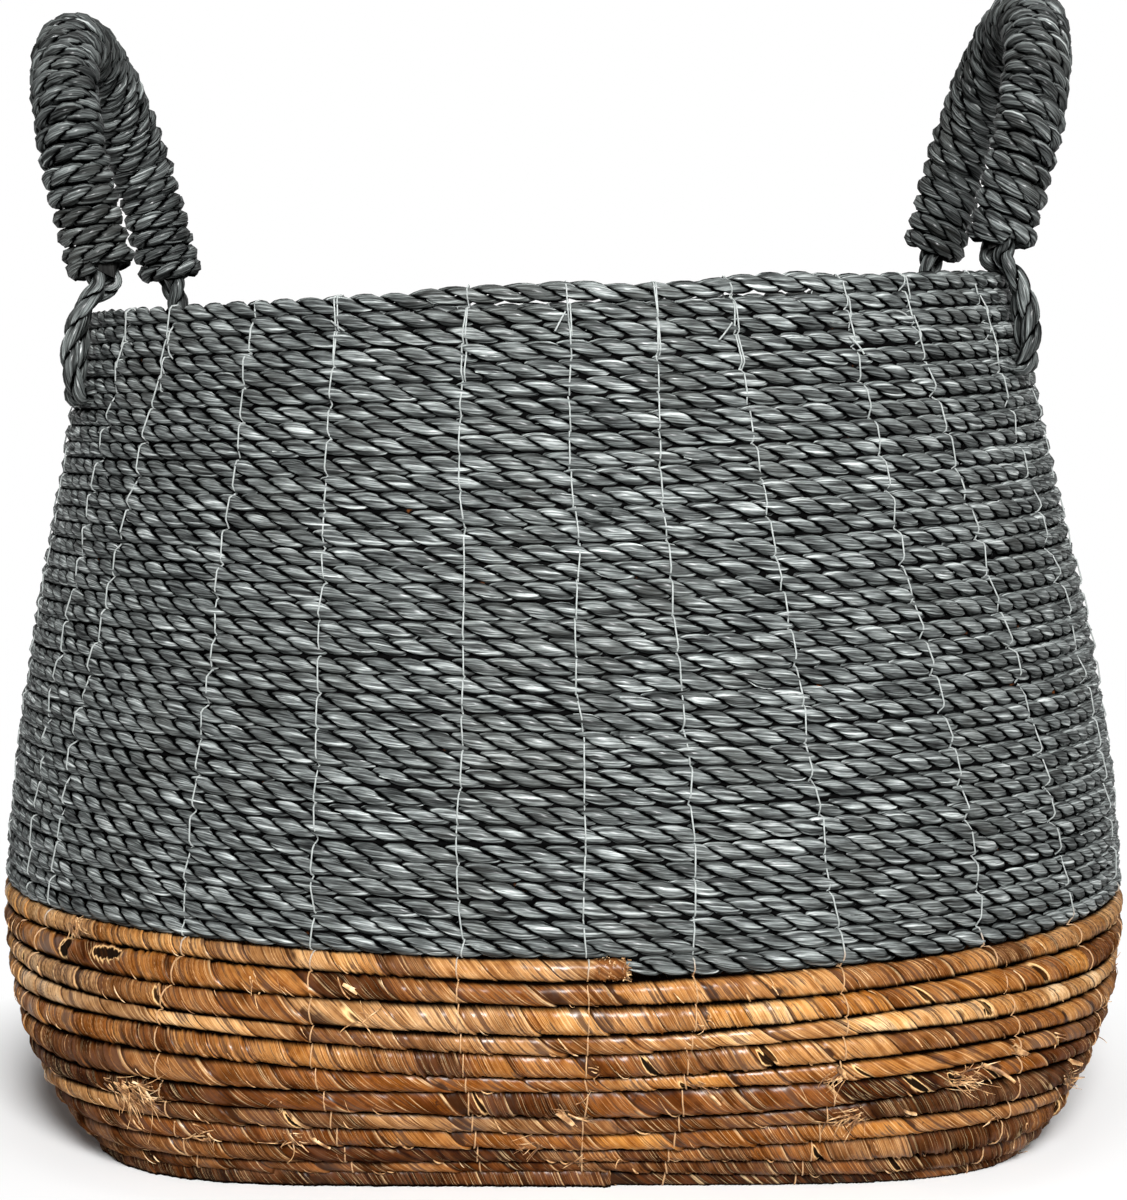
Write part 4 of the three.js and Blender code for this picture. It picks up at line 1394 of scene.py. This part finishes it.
for label, side, hand in (("left", -1, -1), ("right", 1, 1)):
    pivot, axis = hinge_of(label)
    aside = np.array([-axis[1], axis[0], 0])
    upright = np.array([0, 0, 1])
    lean = side * handle_lean
    to_basket = np.stack([
        axis,
        math.cos(lean) * aside + math.sin(lean) * upright,
        -math.sin(lean) * aside + math.cos(lean) * upright,
    ])

    def wrap_middle(turns):
        return handle_frame(np.clip(turns, 0.5, wrap_turns - 0.5) * handle_length / wrap_turns)[0]

    def wrap_place(turns):
        outside = handle_frame(turns * handle_length / wrap_turns)[1]
        spin = full_turn * turns[:, None]
        reach = np.cos(spin) * outside + np.sin(spin) * np.array([0, 1, 0])
        return pivot + (wrap_middle(turns) + (wrap_radius - wrap_rope_half) * reach) @ to_basket

    turns, along = even_path(wrap_place, 0.0, wrap_turns, wrap_step)
    path = wrap_place(turns)
    away = unit(path - (pivot + wrap_middle(turns) @ to_basket))
    rng = np.random.default_rng(60 + side)
    half_height = wrap_rope_half * wrap_fullness * (1 + 0.04 * wander(along, 0.03, rng)[:, 0])
    phase = full_turn * along / wrap_lay + 0.45 * wander(along, 0.06, rng)[:, 0]
    skins = strand_skins(path, away, half_height, along, phase, -hand, 70 + side,
                         shade=handle_painted_shade)
    for letter, skin in zip("ab", skins):
        winding = rope_piece(f"{label}_handle_winding_{letter}", *skin, strand_outline,
                             grey_material, "grey_rope")
        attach(winding, f"{label}_handle")
        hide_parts(f"{label}_handle_wrap")

    distance = np.linspace(core_end_gap, handle_length - core_end_gap, core_points)
    middle, outside = handle_frame(distance)
    path = pivot + middle @ to_basket
    skins = strand_skins(path, outside @ to_basket, np.full(len(path), core_radius), distance,
                         full_turn * distance / core_lay, hand, 80 + side)
    for letter, skin in zip("ab", skins):
        core = rope_piece(f"{label}_handle_core_{letter}", *skin, strand_outline,
                          core_material, "core_rope")
        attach(core, f"{label}_handle")
        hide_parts(f"{label}_handle_core")


# ==== Studio ====
# A pale floor that the camera sees as white paper away from the basket, soft light from the
# front, the right and above, and a camera at the photograph's place.
floor_half_width = 12
floor_white = (0.93, 0.93, 0.93, 1)
paper_white = {"Color": (1, 1, 1, 1), "Strength": 1.0}
paper_from, paper_to = 0.21, 0.31
air_light = 0.12
camera_place = (0, -1.369, 0.302)
camera_tilt = math.radians(85.66)
camera_lens = 100.74
sensor_width = 36
basket_middle = Vector((0, 0, 0.18))
# Each lamp's place, size, spread in degrees and watts.
lamps = {
    "key_softbox": ((0.18, -2.0, 1.05), 0.5, 48, 7.4),
    "fill_softbox": ((1.4, -1.7, 0.8), 1.2, 180, 3),
    "top_softbox": ((0.1, 0.3, 2.0), 1.2, 180, 8),
}


def seen_white(tree):
    """1 for the rays that show the white ground: camera rays and glossy ones."""
    rays = node(tree, "ShaderNodeLightPath")
    seen = worked(tree, "MAXIMUM", rays.outputs["Is Camera Ray"], rays.outputs["Is Glossy Ray"])
    return seen, rays


floor_material, tree, shader = new_material("pale_floor")
fill(tree, shader, {"Base Color": floor_white, "Roughness": 0.9})
place = node(tree, "ShaderNodeTexCoord").outputs["Object"]
away = node(tree, "ShaderNodeVectorMath", {0: place}, operation="LENGTH").outputs["Value"]
far = stretched(tree, away, paper_from, paper_to)
white_paper = node(tree, "ShaderNodeEmission", paper_white)
paper = node(tree, "ShaderNodeMixShader", {
    0: times(tree, seen_white(tree)[0], far), 1: shader.outputs[0], 2: white_paper.outputs[0]})
tree.links.new(paper.outputs[0], tree.nodes["Material Output"].inputs["Surface"])
built = bmesh.new()
bmesh.ops.create_grid(built, x_segments=4, y_segments=4, size=floor_half_width)
floor_mesh = bpy.data.meshes.new("floor")
built.to_mesh(floor_mesh)
built.free()
floor_mesh.materials.append(floor_material)
floor = placed("floor", floor_mesh)

world = bpy.data.worlds.new("studio_air")
bpy.context.scene.world = world
world.use_nodes = True
tree = world.node_tree
tree.nodes.clear()
seen, rays = seen_white(tree)
seen = worked(tree, "MAXIMUM", seen, rays.outputs["Is Transmission Ray"])
air = node(tree, "ShaderNodeBackground", {"Color": (1, 1, 1, 1), "Strength": air_light})
white = node(tree, "ShaderNodeBackground", paper_white)
sky = node(tree, "ShaderNodeMixShader", {0: seen, 1: air.outputs[0], 2: white.outputs[0]})
node(tree, "ShaderNodeOutputWorld", {"Surface": sky.outputs[0]})

for lamp_name, (place, size, spread, watts) in lamps.items():
    lamp = bpy.data.lights.new(lamp_name, "AREA")
    lamp.size = size
    lamp.spread = math.radians(spread)
    lamp.energy = watts
    holder = placed(lamp_name, lamp)
    holder.location = place
    aim = basket_middle - Vector(place)
    holder.rotation_euler = aim.to_track_quat("-Z", "Y").to_euler()

camera_data = bpy.data.cameras.new("camera")
camera_data.sensor_width = sensor_width
camera_data.lens = camera_lens
camera = placed("camera", camera_data)
camera.location = camera_place
camera.rotation_euler = (camera_tilt, 0, 0)
bpy.context.scene.camera = camera
bpy.context.scene.view_settings.view_transform = "Standard"

for shape in (bark_outline, strand_outline, packing_outline, thread_outline, strip_outline):
    bpy.data.objects.remove(shape)
